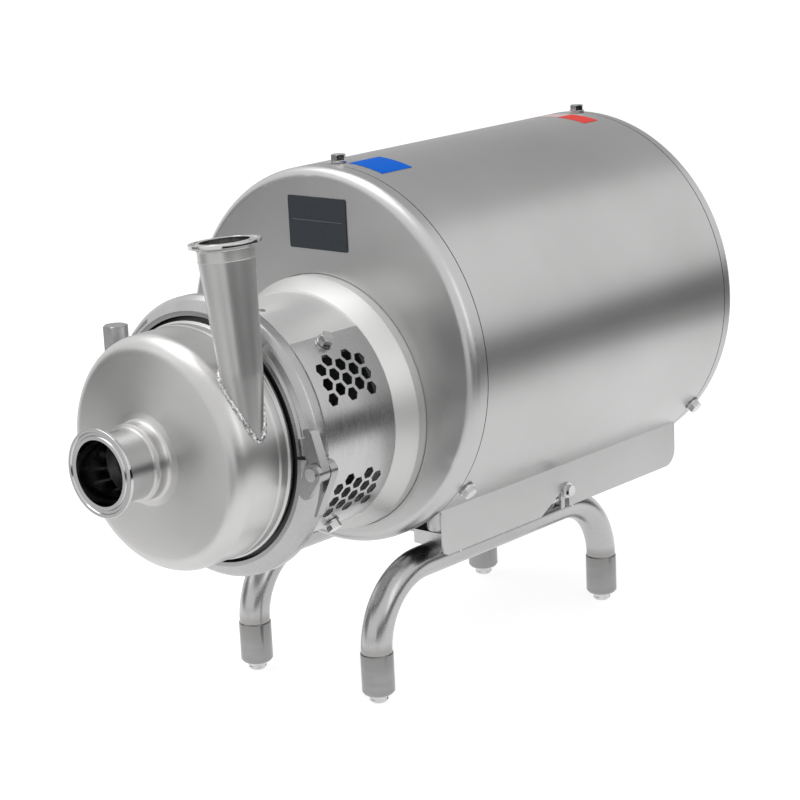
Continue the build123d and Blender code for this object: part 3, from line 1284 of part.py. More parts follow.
def shroud_bolts():
    bolts = []
    for angle in SHROUD_BOLT_ANGLES:
        for station in (SHROUD_FRONT_BOLT, SHROUD_REAR_BOLT):
            bolt = washer_bolt(10.0, 4.6, 6.4, 1.4, 3.0, 8.0)
            bolts.append(radial(angle, SHROUD_RADIUS + 0.3, station, bolt, SHROUD_RISE))
    return bolts


def nameplate():
    level = SHROUD_RISE + SHROUD_RADIUS - PLATE_DROP
    plate = block(-PLATE_WIDTH / 2, PLATE_WIDTH / 2, 0, 0.8, level - PLATE_HEIGHT / 2, level + PLATE_HEIGHT / 2)
    plate = fillet(plate.edges().filter_by(Axis.Y), 1.5)
    return Pos(0, SHROUD_AT - 0.8 - SEATED_FIT, 0) * plate


# Support tray, legs and feet

TRAY_AT = MOTOR_AT + TRAY_START
TRAY_END = TRAY_AT + TRAY_LENGTH
TRAY_BOLT_AT = TRAY_END - 10.0
TRAY_BOLT_DROP = TRAY_DROP - 5.0
TRAY_HALF = SKIRT_HALF_WIDTH - SHROUD_SHEET - 0.1
TUBE_TOP = -LEG_RUN_DROP + LEG_TUBE_RADIUS


def support_tray():
    sheet = TRAY_SHEET
    top = -TRAY_DROP
    low = TUBE_TOP - 3.8
    body = block(-TRAY_HALF, TRAY_HALF, TRAY_AT, TRAY_END, top - sheet, top)
    for side in (-1, 1):
        near, far = sorted((side * TRAY_HALF, side * (TRAY_HALF - SADDLE_WIDTH)))
        body += block(near, far, TRAY_AT, TRAY_AT + sheet, low, top - 0.5)
        body += block(near, far, TRAY_END - sheet, TRAY_END, low, top - 0.5)
        x = side * (TRAY_HALF - sheet / 2)
        body += block(x - sheet / 2, x + sheet / 2, TRAY_BOLT_AT - 9.0, TRAY_BOLT_AT + 9.0, top - 1.0, top + 15.0)
        body -= Pos(x, TRAY_BOLT_AT, -TRAY_BOLT_DROP) * Rot(0, 90, 0) * Cylinder(2.5 + SEATED_FIT, 12.0)
    for x, y in foot_places():
        side = 1 if x > 0 else -1
        body += rod_z(9.0, TUBE_TOP - 5.0, top - sheet / 2, side * LEG_OFFSET, y)
        body -= rod_z(4.3, TUBE_TOP - 10.0, top + 5.0, x, y)
    for side in (-1, 1):
        body -= rod_y(LEG_TUBE_RADIUS + SEATED_FIT, TRAY_AT - 5, TRAY_LENGTH + 10, side * LEG_OFFSET, -LEG_RUN_DROP)
    return body


def foot_spacers():
    spacers = []
    for x, y in foot_places():
        spacer = rod_z(11.0, -TRAY_DROP + SEATED_FIT, -MOTOR_CENTRE_HEIGHT - SEATED_FIT, x, y)
        spacers.append(spacer - rod_z(4.3, -TRAY_DROP - 5.0, -MOTOR_CENTRE_HEIGHT + 5.0, x, y))
    return spacers


def motor_foot_bolts():
    bolts = []
    top = -MOTOR_CENTRE_HEIGHT + 9.0 + SEATED_FIT
    length = top - TUBE_TOP + 8.0
    for x, y in foot_places():
        bolts.append(Pos(x, y, top) * washer_bolt(13.0, 5.3, 8.0, 1.6, 4.0, length))
    return bolts


def skirt_bolts():
    bolts = []
    for side in (-1, 1):
        bolt = washer_bolt(8.5, 3.8, 6.2, 1.6, 2.5, 9.0)
        place = Pos(SKIRT_HALF_WIDTH + SEATED_FIT, TRAY_BOLT_AT, -TRAY_BOLT_DROP) * Rot(0, 90, 0)
        placed = place * bolt
        bolts.append(placed if side > 0 else mirror_left(placed))
    return bolts


LEG_FRONT = MOTOR_AT - LEG_START
LEG_REAR = LEG_FRONT + LEG_SPACING
SLEEVE_TOP = -AXIS_HEIGHT + FOOT_HEAD + SLEEVE_LENGTH


def leg_tube_right():
    radius = LEG_TUBE_RADIUS
    inner = radius - LEG_TUBE_WALL
    bend = LEG_BEND_RADIUS
    x = LEG_OFFSET
    centre = -LEG_RUN_DROP - bend
    tube = None
    for size in (radius, inner):
        run = rod_y(size, LEG_FRONT + bend, LEG_SPACING - 2 * bend, x, -LEG_RUN_DROP)
        legs = run
        for station, side in ((LEG_FRONT, 1), (LEG_REAR, -1)):
            legs += rod_z(size, SLEEVE_TOP + SEATED_FIT, centre, x, station)
            ring_face = Pos(0, -side * bend, 0) * Circle(size)
            turn = revolve(ring_face, Axis((0, 0, 0), (-side, 0, 0)), 90)
            legs += Pos(x, station + side * bend, centre) * turn
        tube = legs if tube is None else tube - legs
    for px, py in foot_places():
        if px > 0:
            tube -= rod_z(4.0 + SEATED_FIT, TUBE_TOP - 6.0, TUBE_TOP + 5.0, px, py)
    return tube


def leg_sleeves():
    sleeves = []
    low = -AXIS_HEIGHT + FOOT_HEAD
    for x in (-LEG_OFFSET, LEG_OFFSET):
        for station in (LEG_FRONT, LEG_REAR):
            body = axis_turned([
                (FOOT_THREAD_RADIUS + RUNNING_FIT, low),
                (SLEEVE_RADIUS - 1.4, low),
                (SLEEVE_RADIUS, low + 2.0),
                (SLEEVE_RADIUS, SLEEVE_TOP, 0.4),
                (FOOT_THREAD_RADIUS + RUNNING_FIT, SLEEVE_TOP),
            ])
            sleeves.append(Pos(x, station, 0) * body)
    return sleeves


def foot_screw(x, station):
    low = -AXIS_HEIGHT
    head = axis_turned([
        (0, low),
        (FOOT_FLATS / 2 - 0.6, low, 0.5),
        (FOOT_FLATS / 2 + 0.6, low + 1.6),
        (FOOT_FLATS / 2 + 0.6, low + 2.6),
        (0, low + 2.6),
    ])
    body = hexagon(FOOT_FLATS, low + 1.5, low + FOOT_HEAD - RUNNING_FIT)
    body += head
    body += rod_z(FOOT_THREAD_RADIUS, low + FOOT_HEAD - 1.0, low + FOOT_HEAD + 28.0)
    return Pos(x, station, 0) * body


def build_all():
    node("suction_ferrule", suction_ferrule())
    node("pump_casing", pump_casing())
    node("discharge_cone", discharge_cone())
    node("discharge_ferrule", discharge_ferrule())
    node("casing_gasket", casing_gasket())
    node("pump_cover", pump_cover())
    node("impeller", impeller())
    node("impeller_nut", impeller_nut())
    node("pump_shaft", pump_shaft())
    node("shaft_set_screws", *shaft_set_screws())
    node("seal_stationary_ring", seal_stationary_ring())
    node("seal_rotating_ring", seal_rotating_ring())
    node("seal_spring", seal_spring())
    node("splash_ring", splash_ring())
    node("clamp_upper", clamp_upper())
    node("clamp_lower", clamp_lower())
    node("clamp_hinge_pin", clamp_hinge_pin())
    node("clamp_bolt_pin", clamp_bolt_pin())
    node("clamp_swing_bolt", clamp_swing_bolt())
    node("clamp_washer", clamp_washer())
    node("clamp_nut", clamp_nut())
    node("lantern", lantern())
    node("lantern_bolts", *lantern_bolts())
    guard = guard_right()
    node("guard_right", guard)
    node("guard_left", mirror_left(guard))
    node("guard_screws", *guard_screws())
    node("motor_front_shield", motor_front_shield())
    node("motor_rear_shield", motor_rear_shield())
    node("motor_frame", motor_frame())
    node("stator_core", stator_core())
    node("stator_windings", stator_windings())
    node("rotor_core", rotor_core())
    node("motor_shaft", motor_shaft())
    node("shaft_key", shaft_key())
    node("bearing_front", bearing(BEARING_AT))
    node("bearing_rear", bearing(REAR_BEARING_AT))
    node("fan", fan())
    node("fan_cowl", fan_cowl())
    node("terminal_box", terminal_box())
    node("terminal_lid", terminal_lid())
    node("cable_gland", cable_gland())
    node("shroud_front_cover", shroud_front_cover())
    node("shroud_wrap", shroud_wrap())
    node("shroud_rear_cover", shroud_rear_cover())
    node("shroud_bolts", *shroud_bolts())
    node("nameplate", nameplate())
    node("support_tray", support_tray())
    node("foot_spacers", *foot_spacers())
    node("motor_foot_bolts", *motor_foot_bolts())
    node("skirt_bolts", *skirt_bolts())
    tube = leg_tube_right()
    node("leg_tube_right", tube)
    node("leg_tube_left", mirror_left(tube))
    node("leg_sleeves", *leg_sleeves())
    node("foot_screw_front_left", foot_screw(-LEG_OFFSET, LEG_FRONT))
    node("foot_screw_front_right", foot_screw(LEG_OFFSET, LEG_FRONT))
    node("foot_screw_rear_left", foot_screw(-LEG_OFFSET, LEG_REAR))
    node("foot_screw_rear_right", foot_screw(LEG_OFFSET, LEG_REAR))


build_all()
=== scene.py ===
import math

import bpy
from mathutils import Matrix, Vector


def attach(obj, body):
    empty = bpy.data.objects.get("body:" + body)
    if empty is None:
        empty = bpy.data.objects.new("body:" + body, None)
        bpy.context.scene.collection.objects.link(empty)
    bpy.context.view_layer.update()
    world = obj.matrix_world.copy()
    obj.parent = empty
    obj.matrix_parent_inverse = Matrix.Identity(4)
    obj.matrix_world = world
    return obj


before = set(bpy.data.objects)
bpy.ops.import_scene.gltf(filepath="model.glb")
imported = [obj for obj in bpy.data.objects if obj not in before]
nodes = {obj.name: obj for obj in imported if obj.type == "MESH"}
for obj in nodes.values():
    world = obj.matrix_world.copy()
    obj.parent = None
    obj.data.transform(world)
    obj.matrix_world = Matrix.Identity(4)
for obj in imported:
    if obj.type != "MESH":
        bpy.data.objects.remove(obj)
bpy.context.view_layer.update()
bpy.ops.object.select_all(action="DESELECT")

# Sizes in metres, in the frame's own coordinates
AXIS_HEIGHT = 0.2194
HALF_LENGTH = 0.2847
SHROUD_CENTRE = 0.2532
SHROUD_RADIUS = 0.1447
CASING_RADIUS = 0.0863
CASING_SIDE_AT = 0.06335
SHOULDER_RADIUS = 0.0146
FACE_AT = 0.0420
FACE_SLOPE = math.tan(math.radians(9.15))
PIPE_LEAN = math.radians(5.08)
PIPE_TOP = Vector((0.06248, 0.0740, 0.15566))
PIPE_DOWN = Vector((math.sin(PIPE_LEAN), 0.0, -math.cos(PIPE_LEAN)))
LEG_OFFSET = 0.0642
LEG_STATIONS = (0.2033, 0.4878)
SHROUD_SEAMS = (0.2496, 0.5568)
SEAM_HALF_WIDTH = 0.00035
LIP_REAR = 0.1012
SUCTION_HUB = 0.031
SHOULDER_EDGE = 0.0022
PIPE_WAIST_DOWN = 0.0938
PIPE_START_RADIUS, PIPE_WAIST_RADIUS, PIPE_END_RADIUS = 0.0197, 0.0152, 0.0097
PIPE_START_DOWN, PIPE_END_DOWN = 0.0185, 0.138
JOINT_POINTS = 120
JOINT_STEP = 0.0004
FILM_LIFT = 0.00012
SAME_POINT = 0.000002

# The camera that was fitted to the photograph
CAMERA_AZIMUTH = math.radians(41.63)
CAMERA_ELEVATION = math.radians(15.76)
CAMERA_ROLL = math.radians(-2.76)
CAMERA_BACK, CAMERA_ACROSS, CAMERA_UP = 1.6408, 0.20884, 0.0023
CAMERA_LENS = 107.1
CAMERA_SHIFT = (-0.0026, 0.088)


def place(x, station, z):
    """A spot from the shaft's axis and its station along it, in the frame's coordinates."""
    return Vector((x, station - HALF_LENGTH, z + AXIS_HEIGHT))


# Finishes

class Finish:
    """One finish, with the nodes that give it its grain."""

    def __init__(self, name, metal, rough=0.5, colour=(0.5, 0.5, 0.5)):
        self.material = bpy.data.materials.new(name)
        self.material.use_nodes = True
        self.tree = self.material.node_tree
        self.shader = self.tree.nodes["Principled BSDF"]
        self.shader.inputs["Metallic"].default_value = metal
        self.shader.inputs["Roughness"].default_value = rough
        self.shader.inputs["Base Color"].default_value = (*colour, 1.0)

    def link(self, start, end):
        self.tree.links.new(start, end)

    def coordinates(self, stretch, centre=(0, 0, 0)):
        source = self.tree.nodes.new("ShaderNodeTexCoord")
        mapping = self.tree.nodes.new("ShaderNodeMapping")
        mapping.inputs["Scale"].default_value = stretch
        mapping.inputs["Location"].default_value = tuple(-c * s for c, s in zip(centre, stretch))
        self.link(source.outputs["Object"], mapping.inputs["Vector"])
        return mapping.outputs["Vector"]

    def noise(self, scale, detail, stretch=(1, 1, 1)):
        texture = self.tree.nodes.new("ShaderNodeTexNoise")
        texture.inputs["Scale"].default_value = scale
        texture.inputs["Detail"].default_value = detail
        texture.inputs["Roughness"].default_value = 0.55
        self.link(self.coordinates(stretch), texture.inputs["Vector"])
        return texture.outputs["Fac"]

    def ramp(self, source, low, high, start=0.3, end=0.7):
        ramp = self.tree.nodes.new("ShaderNodeValToRGB")
        ramp.color_ramp.elements[0].position = start
        ramp.color_ramp.elements[0].color = (*low, 1.0)
        ramp.color_ramp.elements[1].position = end
        ramp.color_ramp.elements[1].color = (*high, 1.0)
        self.link(source, ramp.inputs["Fac"])
        return ramp.outputs["Color"]

    def spread(self, source, low, high, start=0.3, end=0.7):
        ranger = self.tree.nodes.new("ShaderNodeMapRange")
        ranger.inputs["From Min"].default_value = start
        ranger.inputs["From Max"].default_value = end
        ranger.inputs["To Min"].default_value = low
        ranger.inputs["To Max"].default_value = high
        self.link(source, ranger.inputs["Value"])
        return ranger.outputs["Result"]

    def colour(self, source):
        self.colour_from = source
        self.link(source, self.shader.inputs["Base Color"])

    def arithmetic(self, kind, first, second):
        """Adds one arithmetic node; either side may be a number or another node's output."""
        node = self.tree.nodes.new("ShaderNodeMath")
        node.operation = kind
        for socket, side in zip(node.inputs, (first, second)):
            if isinstance(side, (int, float)):
                socket.default_value = side
            else:
                self.link(side, socket)
        return node.outputs[0]

    def along(self, direction, start):
        """The distance of the surface point from start, measured along a direction."""
        level = self.tree.nodes.new("ShaderNodeVectorMath")
        level.operation = "DOT_PRODUCT"
        level.inputs[1].default_value = direction
        self.link(self.coordinates((1, 1, 1), start), level.inputs[0])
        return level.outputs["Value"]

    def reach(self, centre):
        """The distance of the surface point from the line along Y through centre."""
        length = self.tree.nodes.new("ShaderNodeVectorMath")
        length.operation = "LENGTH"
        self.link(self.coordinates((1, 0, 1), centre), length.inputs[0])
        return length.outputs["Value"]

    def between(self, source, low, high, soft):
        """A mask that is 1 from low to high and fades over soft on both sides."""
        rise = self.spread(source, 0.0, 1.0, low - soft, low)
        fall = self.spread(source, 1.0, 0.0, high, high + soft)
        return self.arithmetic("MULTIPLY", rise, fall)

    def tint(self, mask, colour):
        """Lays a colour over the base colour where the mask is 1."""
        mix = self.tree.nodes.new("ShaderNodeMix")
        mix.data_type = "RGBA"
        self.link(mask, mix.inputs["Factor"])
        self.link(self.colour_from, mix.inputs["A"])
        mix.inputs["B"].default_value = (*colour, 1.0)
        self.colour(mix.outputs["Result"])

    def dull(self, mask):
        """Takes the metal away where the mask is 1, so that shade painted into a gap stays dark."""
        self.link(self.spread(mask, self.shader.inputs["Metallic"].default_value, 0.0, 0.0, 1.0),
                  self.shader.inputs["Metallic"])

    def roughness(self, source):
        self.link(source, self.shader.inputs["Roughness"])

    def relief(self, source, depth, strength):
        bump = self.tree.nodes.new("ShaderNodeBump")
        bump.inputs["Strength"].default_value = strength
        bump.inputs["Distance"].default_value = depth
        self.link(source, bump.inputs["Height"])
        self.link(bump.outputs["Normal"], self.shader.inputs["Normal"])


def grey(value, warmth=0.0):
    return (value * (1 + warmth), value, value * (1 - warmth))


def satin_shroud():
    finish = Finish("satin_shroud_sheet", 1.0)
    cloud = finish.noise(7.0, 3.0)
    grain = finish.noise(900.0, 2.0)
    finish.colour(finish.ramp(cloud, grey(0.50, 0.004), grey(0.56, 0.002)))
    finish.roughness(finish.spread(grain, 0.30, 0.38))
    finish.relief(grain, 0.00002, 0.22)
    station = finish.along((0, 1, 0), (0, 0, 0))
    for seam in SHROUD_SEAMS:
        at = seam - HALF_LENGTH
        line = finish.between(station, at - SEAM_HALF_WIDTH, at + SEAM_HALF_WIDTH, 0.0001)
        finish.tint(line, grey(0.02))
    return finish.material


def blasted_casing():
    finish = Finish("blasted_casing", 1.0)
    cloud = finish.noise(11.0, 3.0)
    grain = finish.noise(1500.0, 2.0)
    finish.colour(finish.ramp(cloud, grey(0.52, 0.010), grey(0.60, 0.006)))
    finish.roughness(finish.spread(grain, 0.30, 0.40))
    finish.relief(grain, 0.00003, 0.3)
    behind_lip = LIP_REAR - HALF_LENGTH
    station = finish.along((0, 1, 0), (0, 0, 0))
    # Painted shade: behind the lip the casing is painted near black and loses its metal, standing in for
    # the shade in the gap under the clamp
    painted_gap_shade = finish.spread(station, 0.0, 1.0, behind_lip - 0.0002, behind_lip)
    finish.tint(painted_gap_shade, grey(0.008))
    finish.dull(painted_gap_shade)
    return finish.material


def turned_suction():
    finish = Finish("turned_suction", 1.0)
    cloud = finish.noise(30.0, 2.0)
    finish.colour(finish.ramp(cloud, grey(0.54), grey(0.60)))
    wall = finish.between(finish.reach(place(0, 0, 0)), 0.0250, 0.0290, 0.0003)
    finish.roughness(finish.spread(wall, 0.10, 0.24, 0.0, 1.0))
    return finish.material


def discharge_satin():
    finish = Finish("discharge_satin", 1.0)
    grain = finish.noise(1300.0, 2.0)
    cloud = finish.noise(16.0, 3.0)
    finish.colour(finish.ramp(cloud, grey(0.52, 0.008), grey(0.60, 0.006)))
    up = -PIPE_DOWN
    level = finish.along(tuple(up), tuple(place(*PIPE_TOP)))
    rim = finish.spread(level, 0.0, 1.0, -0.0050, -0.0044)
    finish.roughness(finish.spread(rim, 0.34, 0.11, 0.0, 1.0))
    finish.relief(grain, 0.00002, 0.2)
    return finish.material


def cast_lantern():
    finish = Finish("cast_lantern", 0.55)
    grain = finish.noise(700.0, 2.0)
    cloud = finish.noise(12.0, 2.0)
    finish.colour(finish.ramp(cloud, grey(0.74, 0.008), grey(0.80, 0.006)))
    finish.roughness(finish.spread(grain, 0.40, 0.46))
    finish.relief(grain, 0.00003, 0.2)
    return finish.material


def cast_clamp():
    finish = Finish("cast_clamp", 1.0)
    grain = finish.noise(260.0, 2.0)
    cloud = finish.noise(26.0, 3.0)
    finish.colour(finish.ramp(cloud, grey(0.40), grey(0.47)))
    finish.roughness(finish.spread(grain, 0.26, 0.31))
    finish.relief(grain, 0.00003, 0.12)
    return finish.material


def brushed_guard():
    finish = Finish("brushed_guard", 1.0)
    streak = finish.noise(160.0, 2.0, (0.25, 2.0, 0.25))
    cloud = finish.noise(14.0, 2.0)
    finish.colour(finish.ramp(cloud, grey(0.48), grey(0.56)))
    finish.roughness(finish.spread(streak, 0.25, 0.29))
    return finish.material


def machined_steel():
    finish = Finish("machined_steel", 1.0)
    streak = finish.noise(120.0, 2.0)
    finish.colour(finish.ramp(streak, grey(0.44), grey(0.50)))
    finish.roughness(finish.spread(streak, 0.22, 0.28))
    return finish.material


def bright_bolt():
    finish = Finish("bright_bolt", 1.0)
    speck = finish.noise(150.0, 2.0)
    finish.colour(finish.ramp(speck, grey(0.54), grey(0.64)))
    finish.roughness(finish.spread(speck, 0.12, 0.18))
    return finish.material


def leg_tube():
    finish = Finish("leg_tube_satin", 1.0)
    cloud = finish.noise(10.0, 2.0)
    grain = finish.noise(120.0, 2.0)
    finish.colour(finish.ramp(cloud, grey(0.43), grey(0.50)))
    finish.roughness(finish.spread(grain, 0.25, 0.28))
    heat = finish.between(finish.along((0, 0, 1), (0, 0, 0)), 0.0380, 0.0425, 0.006)
    finish.tint(finish.arithmetic("MULTIPLY", heat, 0.55), grey(0.24, 0.04))
    return finish.material


def turned_sleeve():
    finish = Finish("turned_sleeve", 1.0)
    line = finish.noise(90.0, 2.0, (0.5, 0.5, 2.0))
    finish.colour(finish.ramp(line, grey(0.29), grey(0.33)))
    finish.roughness(finish.spread(line, 0.20, 0.24))
    heat = finish.spread(finish.along((0, 0, 1), (0, 0, 0)), 0.0, 0.7, 0.020, 0.039)
    finish.tint(heat, grey(0.22, 0.02))
    return finish.material


def bracket_steel():
    finish = Finish("bracket_steel", 1.0)
    cloud = finish.noise(22.0, 3.0)
    grain = finish.noise(900.0, 2.0)
    finish.colour(finish.ramp(cloud, grey(0.58, 0.008), grey(0.66, 0.006)))
    finish.roughness(finish.spread(grain, 0.34, 0.44))
    return finish.material


def painted_motor():
    finish = Finish("painted_motor", 0.0)
    grain = finish.noise(350.0, 4.0)
    finish.colour(finish.ramp(grain, (0.10, 0.115, 0.125), (0.125, 0.14, 0.15)))
    finish.roughness(finish.spread(grain, 0.42, 0.58))
    finish.relief(grain, 0.0001, 0.3)
    return finish.material


def gasket_rubber():
    finish = Finish("gasket_rubber", 0.0, 0.7)
    grain = finish.noise(800.0, 3.0)
    finish.colour(finish.ramp(grain, grey(0.012), grey(0.022)))
    finish.relief(grain, 0.00005, 0.3)
    return finish.material


def seal_carbon():
    finish = Finish("seal_carbon", 0.1)
    grain = finish.noise(1200.0, 2.0)
    finish.colour(finish.ramp(grain, grey(0.02), grey(0.035)))
    finish.roughness(finish.spread(grain, 0.28, 0.4))
    return finish.material


def core_lamination():
    finish = Finish("core_lamination", 0.7, 0.5)
    line = finish.noise(40.0, 2.0, (0.1, 40.0, 0.1))
    finish.colour(finish.ramp(line, grey(0.12), grey(0.2)))
    finish.relief(line, 0.00005, 0.4)
    return finish.material


def winding_copper():
    finish = Finish("winding_copper", 0.8, 0.35)
    line = finish.noise(30.0, 3.0, (20.0, 2.0, 20.0))
    finish.colour(finish.ramp(line, (0.28, 0.10, 0.04), (0.46, 0.18, 0.08)))
    finish.relief(line, 0.0002, 0.4)
    return finish.material


def moulded_black():
    finish = Finish("moulded_black", 0.0)
    grain = finish.noise(600.0, 3.0)
    finish.colour(finish.ramp(grain, grey(0.015), grey(0.03)))
    finish.roughness(finish.spread(grain, 0.42, 0.58))
    return finish.material


def slate_plate():
    finish = Finish("slate_plate", 0.1)
    grain = finish.noise(500.0, 2.0)
    finish.colour(finish.ramp(grain, (0.026, 0.034, 0.044), (0.034, 0.043, 0.055)))
    finish.roughness(finish.spread(grain, 0.38, 0.44))
    return finish.material


def weld_metal():
    finish = Finish("weld_metal", 0.9)
    spot = finish.noise(650.0, 4.0)
    finish.colour(finish.ramp(spot, grey(0.30), grey(0.72), 0.36, 0.6))
    finish.roughness(finish.spread(spot, 0.15, 0.35))
    finish.relief(spot, 0.0002, 0.5)
    return finish.material


def film_patch(name, low, high):
    finish = Finish(name, 0.0)
    finish.shader.inputs["Specular IOR Level"].default_value = 0.03
    grain = finish.noise(220.0, 2.0)
    finish.colour(finish.ramp(grain, low, high))
    finish.roughness(finish.spread(grain, 0.45, 0.55))
    return finish.material


shroud_steel = satin_shroud()
casing_steel = blasted_casing()
suction_steel = turned_suction()
discharge_steel = discharge_satin()
lantern_steel = cast_lantern()
clamp_steel = cast_clamp()
guard_steel = brushed_guard()
machined = machined_steel()
bolt_steel = bright_bolt()
tube_steel = leg_tube()
sleeve_steel = turned_sleeve()
bracket = bracket_steel()
motor_paint = painted_motor()
rubber = gasket_rubber()
carbon = seal_carbon()
lamination = core_lamination()
copper = winding_copper()
black = moulded_black()
slate = slate_plate()
weld = weld_metal()

NODE_FINISH = {
    "shroud_front_cover": shroud_steel, "shroud_wrap": shroud_steel, "shroud_rear_cover": shroud_steel,
    "pump_casing": casing_steel, "discharge_cone": discharge_steel,
    "suction_ferrule": suction_steel, "discharge_ferrule": discharge_steel,
    "lantern": lantern_steel, "guard_right": guard_steel, "guard_left": guard_steel,
    "clamp_upper": clamp_steel, "clamp_lower": clamp_steel,
    "pump_cover": machined, "impeller": machined, "impeller_nut": machined, "pump_shaft": machined,
    "splash_ring": machined, "clamp_swing_bolt": machined, "clamp_nut": machined, "clamp_washer": machined,
    "foot_spacers": machined,
    "clamp_hinge_pin": bolt_steel, "clamp_bolt_pin": bolt_steel, "guard_screws": bolt_steel,
    "shroud_bolts": bolt_steel, "skirt_bolts": bolt_steel,
    "foot_screw_front_left": bolt_steel, "foot_screw_front_right": bolt_steel,
    "foot_screw_rear_left": bolt_steel, "foot_screw_rear_right": bolt_steel,
    "lantern_bolts": bolt_steel, "motor_foot_bolts": bolt_steel, "shaft_set_screws": bolt_steel,
    "shaft_key": machined, "seal_spring": machined, "motor_shaft": machined,
    "bearing_front": machined, "bearing_rear": machined,
    "leg_tube_left": tube_steel, "leg_tube_right": tube_steel, "leg_sleeves": sleeve_steel,
    "support_tray": bracket, "motor_front_shield": motor_paint, "motor_rear_shield": motor_paint,
    "motor_frame": motor_paint, "fan_cowl": motor_paint, "terminal_box": motor_paint,
    "terminal_lid": motor_paint, "casing_gasket": rubber, "seal_stationary_ring": carbon,
    "seal_rotating_ring": carbon, "stator_core": lamination, "rotor_core": lamination,
    "stator_windings": copper, "fan": black, "cable_gland": black, "nameplate": slate,
}

for name, piece in nodes.items():
    piece.data.materials.clear()
    piece.data.materials.append(NODE_FINISH[name])
    for face in piece.data.polygons:
        face.use_smooth = True
    merge = piece.modifiers.new("merge", "WELD")
    merge.merge_threshold = SAME_POINT
    crease = piece.modifiers.new("crease", "EDGE_SPLIT")
    crease.split_angle = math.radians(24)


# Helpers for the new pieces

def settle(piece, name, material, body):
    """Places the finished piece in the frame and gives it its finish."""
    piece.name = name
    piece.data.name = name
    bpy.ops.object.select_all(action="DESELECT")
    piece.select_set(True)
    bpy.context.view_layer.objects.active = piece
    bpy.ops.object.transform_apply(location=True, rotation=True, scale=True)
    piece.data.materials.clear()
    piece.data.materials.append(material)
    bpy.ops.object.shade_smooth_by_angle(angle=math.radians(30))
    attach(piece, body)
    piece.select_set(False)


def apply_all(piece):
    bpy.context.view_layer.objects.active = piece
    for modifier in list(piece.modifiers):
        bpy.ops.object.modifier_apply(modifier=modifier.name)


def roughen(piece, size, depth):
    """Gives a bead its ripple."""
    clouds = bpy.data.textures.new("bead_ripple", "CLOUDS")
    clouds.noise_scale = size
    ripple = piece.modifiers.new("ripple", "DISPLACE")
    ripple.texture = clouds
    ripple.texture_coords = "GLOBAL"
    ripple.strength = depth
    ripple.mid_level = 0.5
    apply_all(piece)


def bead(name, points, radius, ripple, size):
    """A weld bead laid along a closed line."""
    line = bpy.data.curves.new(name, "CURVE")
    line.dimensions = "3D"
    line.bevel_depth = radius
    line.bevel_resolution = 3
    spline = line.splines.new("POLY")
    spline.points.add(len(points) - 1)
    for knot, point in zip(spline.points, points):
        knot.co = (*point, 1.0)
    spline.use_cyclic_u = True
    piece = bpy.data.objects.new(name, line)
    bpy.context.scene.collection.objects.link(piece)
    bpy.context.view_layer.objects.active = piece
    piece.select_set(True)
    bpy.ops.object.convert(target="MESH")
    piece = bpy.context.object
    roughen(piece, size, ripple)
    settle(piece, name, weld, "stand")


def ring_bead(name, centre, radius, thickness, turn, ripple, material, size=0.003):
    """A weld bead all round a tube."""
    bpy.ops.mesh.primitive_torus_add(major_radius=radius, minor_radius=thickness, major_segments=160,
                                     minor_segments=8, location=centre, rotation=turn)
    piece = bpy.context.object
    bpy.ops.object.transform_apply(location=True, rotation=True, scale=True)
    roughen(piece, size, ripple)
    settle(piece, name, material, "stand")


# Weld beads

def inside_casing(point):
    """Whether a point, given from the shaft's axis, lies inside the pressed casing."""
    reach = math.hypot(point.x, point.z)
    station = point.y
    if station >= CASING_SIDE_AT:
        return reach < CASING_RADIUS
    hub = CASING_RADIUS - SHOULDER_RADIUS
    if reach > hub + SHOULDER_EDGE:
        return (reach - hub) ** 2 + (station - CASING_SIDE_AT) ** 2 < SHOULDER_RADIUS ** 2
    return station > FACE_AT + (reach - SUCTION_HUB) * FACE_SLOPE


def pipe_radius(reach):
    """The pipe's radius at a distance down from its top."""
    if reach < PIPE_WAIST_DOWN:
        share = (reach - PIPE_START_DOWN) / (PIPE_WAIST_DOWN - PIPE_START_DOWN)
        return PIPE_START_RADIUS + (PIPE_WAIST_RADIUS - PIPE_START_RADIUS) * share
    share = (reach - PIPE_WAIST_DOWN) / (PIPE_END_DOWN - PIPE_WAIST_DOWN)
    return PIPE_WAIST_RADIUS + (PIPE_END_RADIUS - PIPE_WAIST_RADIUS) * share


def pipe_joint():
    """The line where the discharge pipe meets the casing."""
    across = Vector((math.cos(PIPE_LEAN), 0.0, math.sin(PIPE_LEAN)))
    points = []
    for step in range(JOINT_POINTS):
        turn = 2 * math.pi * step / JOINT_POINTS
        side = across * math.cos(turn) + Vector((0, 1, 0)) * math.sin(turn)
        low, high = 0.03, 0.145
        reach = low
        while reach < high:
            if inside_casing(PIPE_TOP + PIPE_DOWN * reach + side * pipe_radius(reach)):
                break
            reach += JOINT_STEP
        point = PIPE_TOP + PIPE_DOWN * reach + side * (pipe_radius(reach) + 0.0002)
        points.append(place(*point))
    return points


bead("discharge_weld", pipe_joint(), 0.0018, 0.0016, size=0.0032)
ring_bead("discharge_neck_weld", place(*(PIPE_TOP + PIPE_DOWN * 0.0126)), 0.0199, 0.0003,
          (0, -PIPE_LEAN, 0), 0.0001, casing_steel)
ring_bead("suction_weld", place(0, 0.0285, 0), 0.0254, 0.0006, (math.pi / 2, 0, 0), 0.0002, casing_steel)
for side, mark in ((-1, "left"), (1, "right")):
    for station, spot in zip(LEG_STATIONS, ("front", "rear")):
        ring_bead(f"leg_weld_{spot}_{mark}", place(side * LEG_OFFSET, station, -0.1802), 0.0120, 0.0005,
                  (0, 0, 0), 0.0002, sleeve_steel, 0.002)


# The nameplate's bare line and the three plain films on the wrap

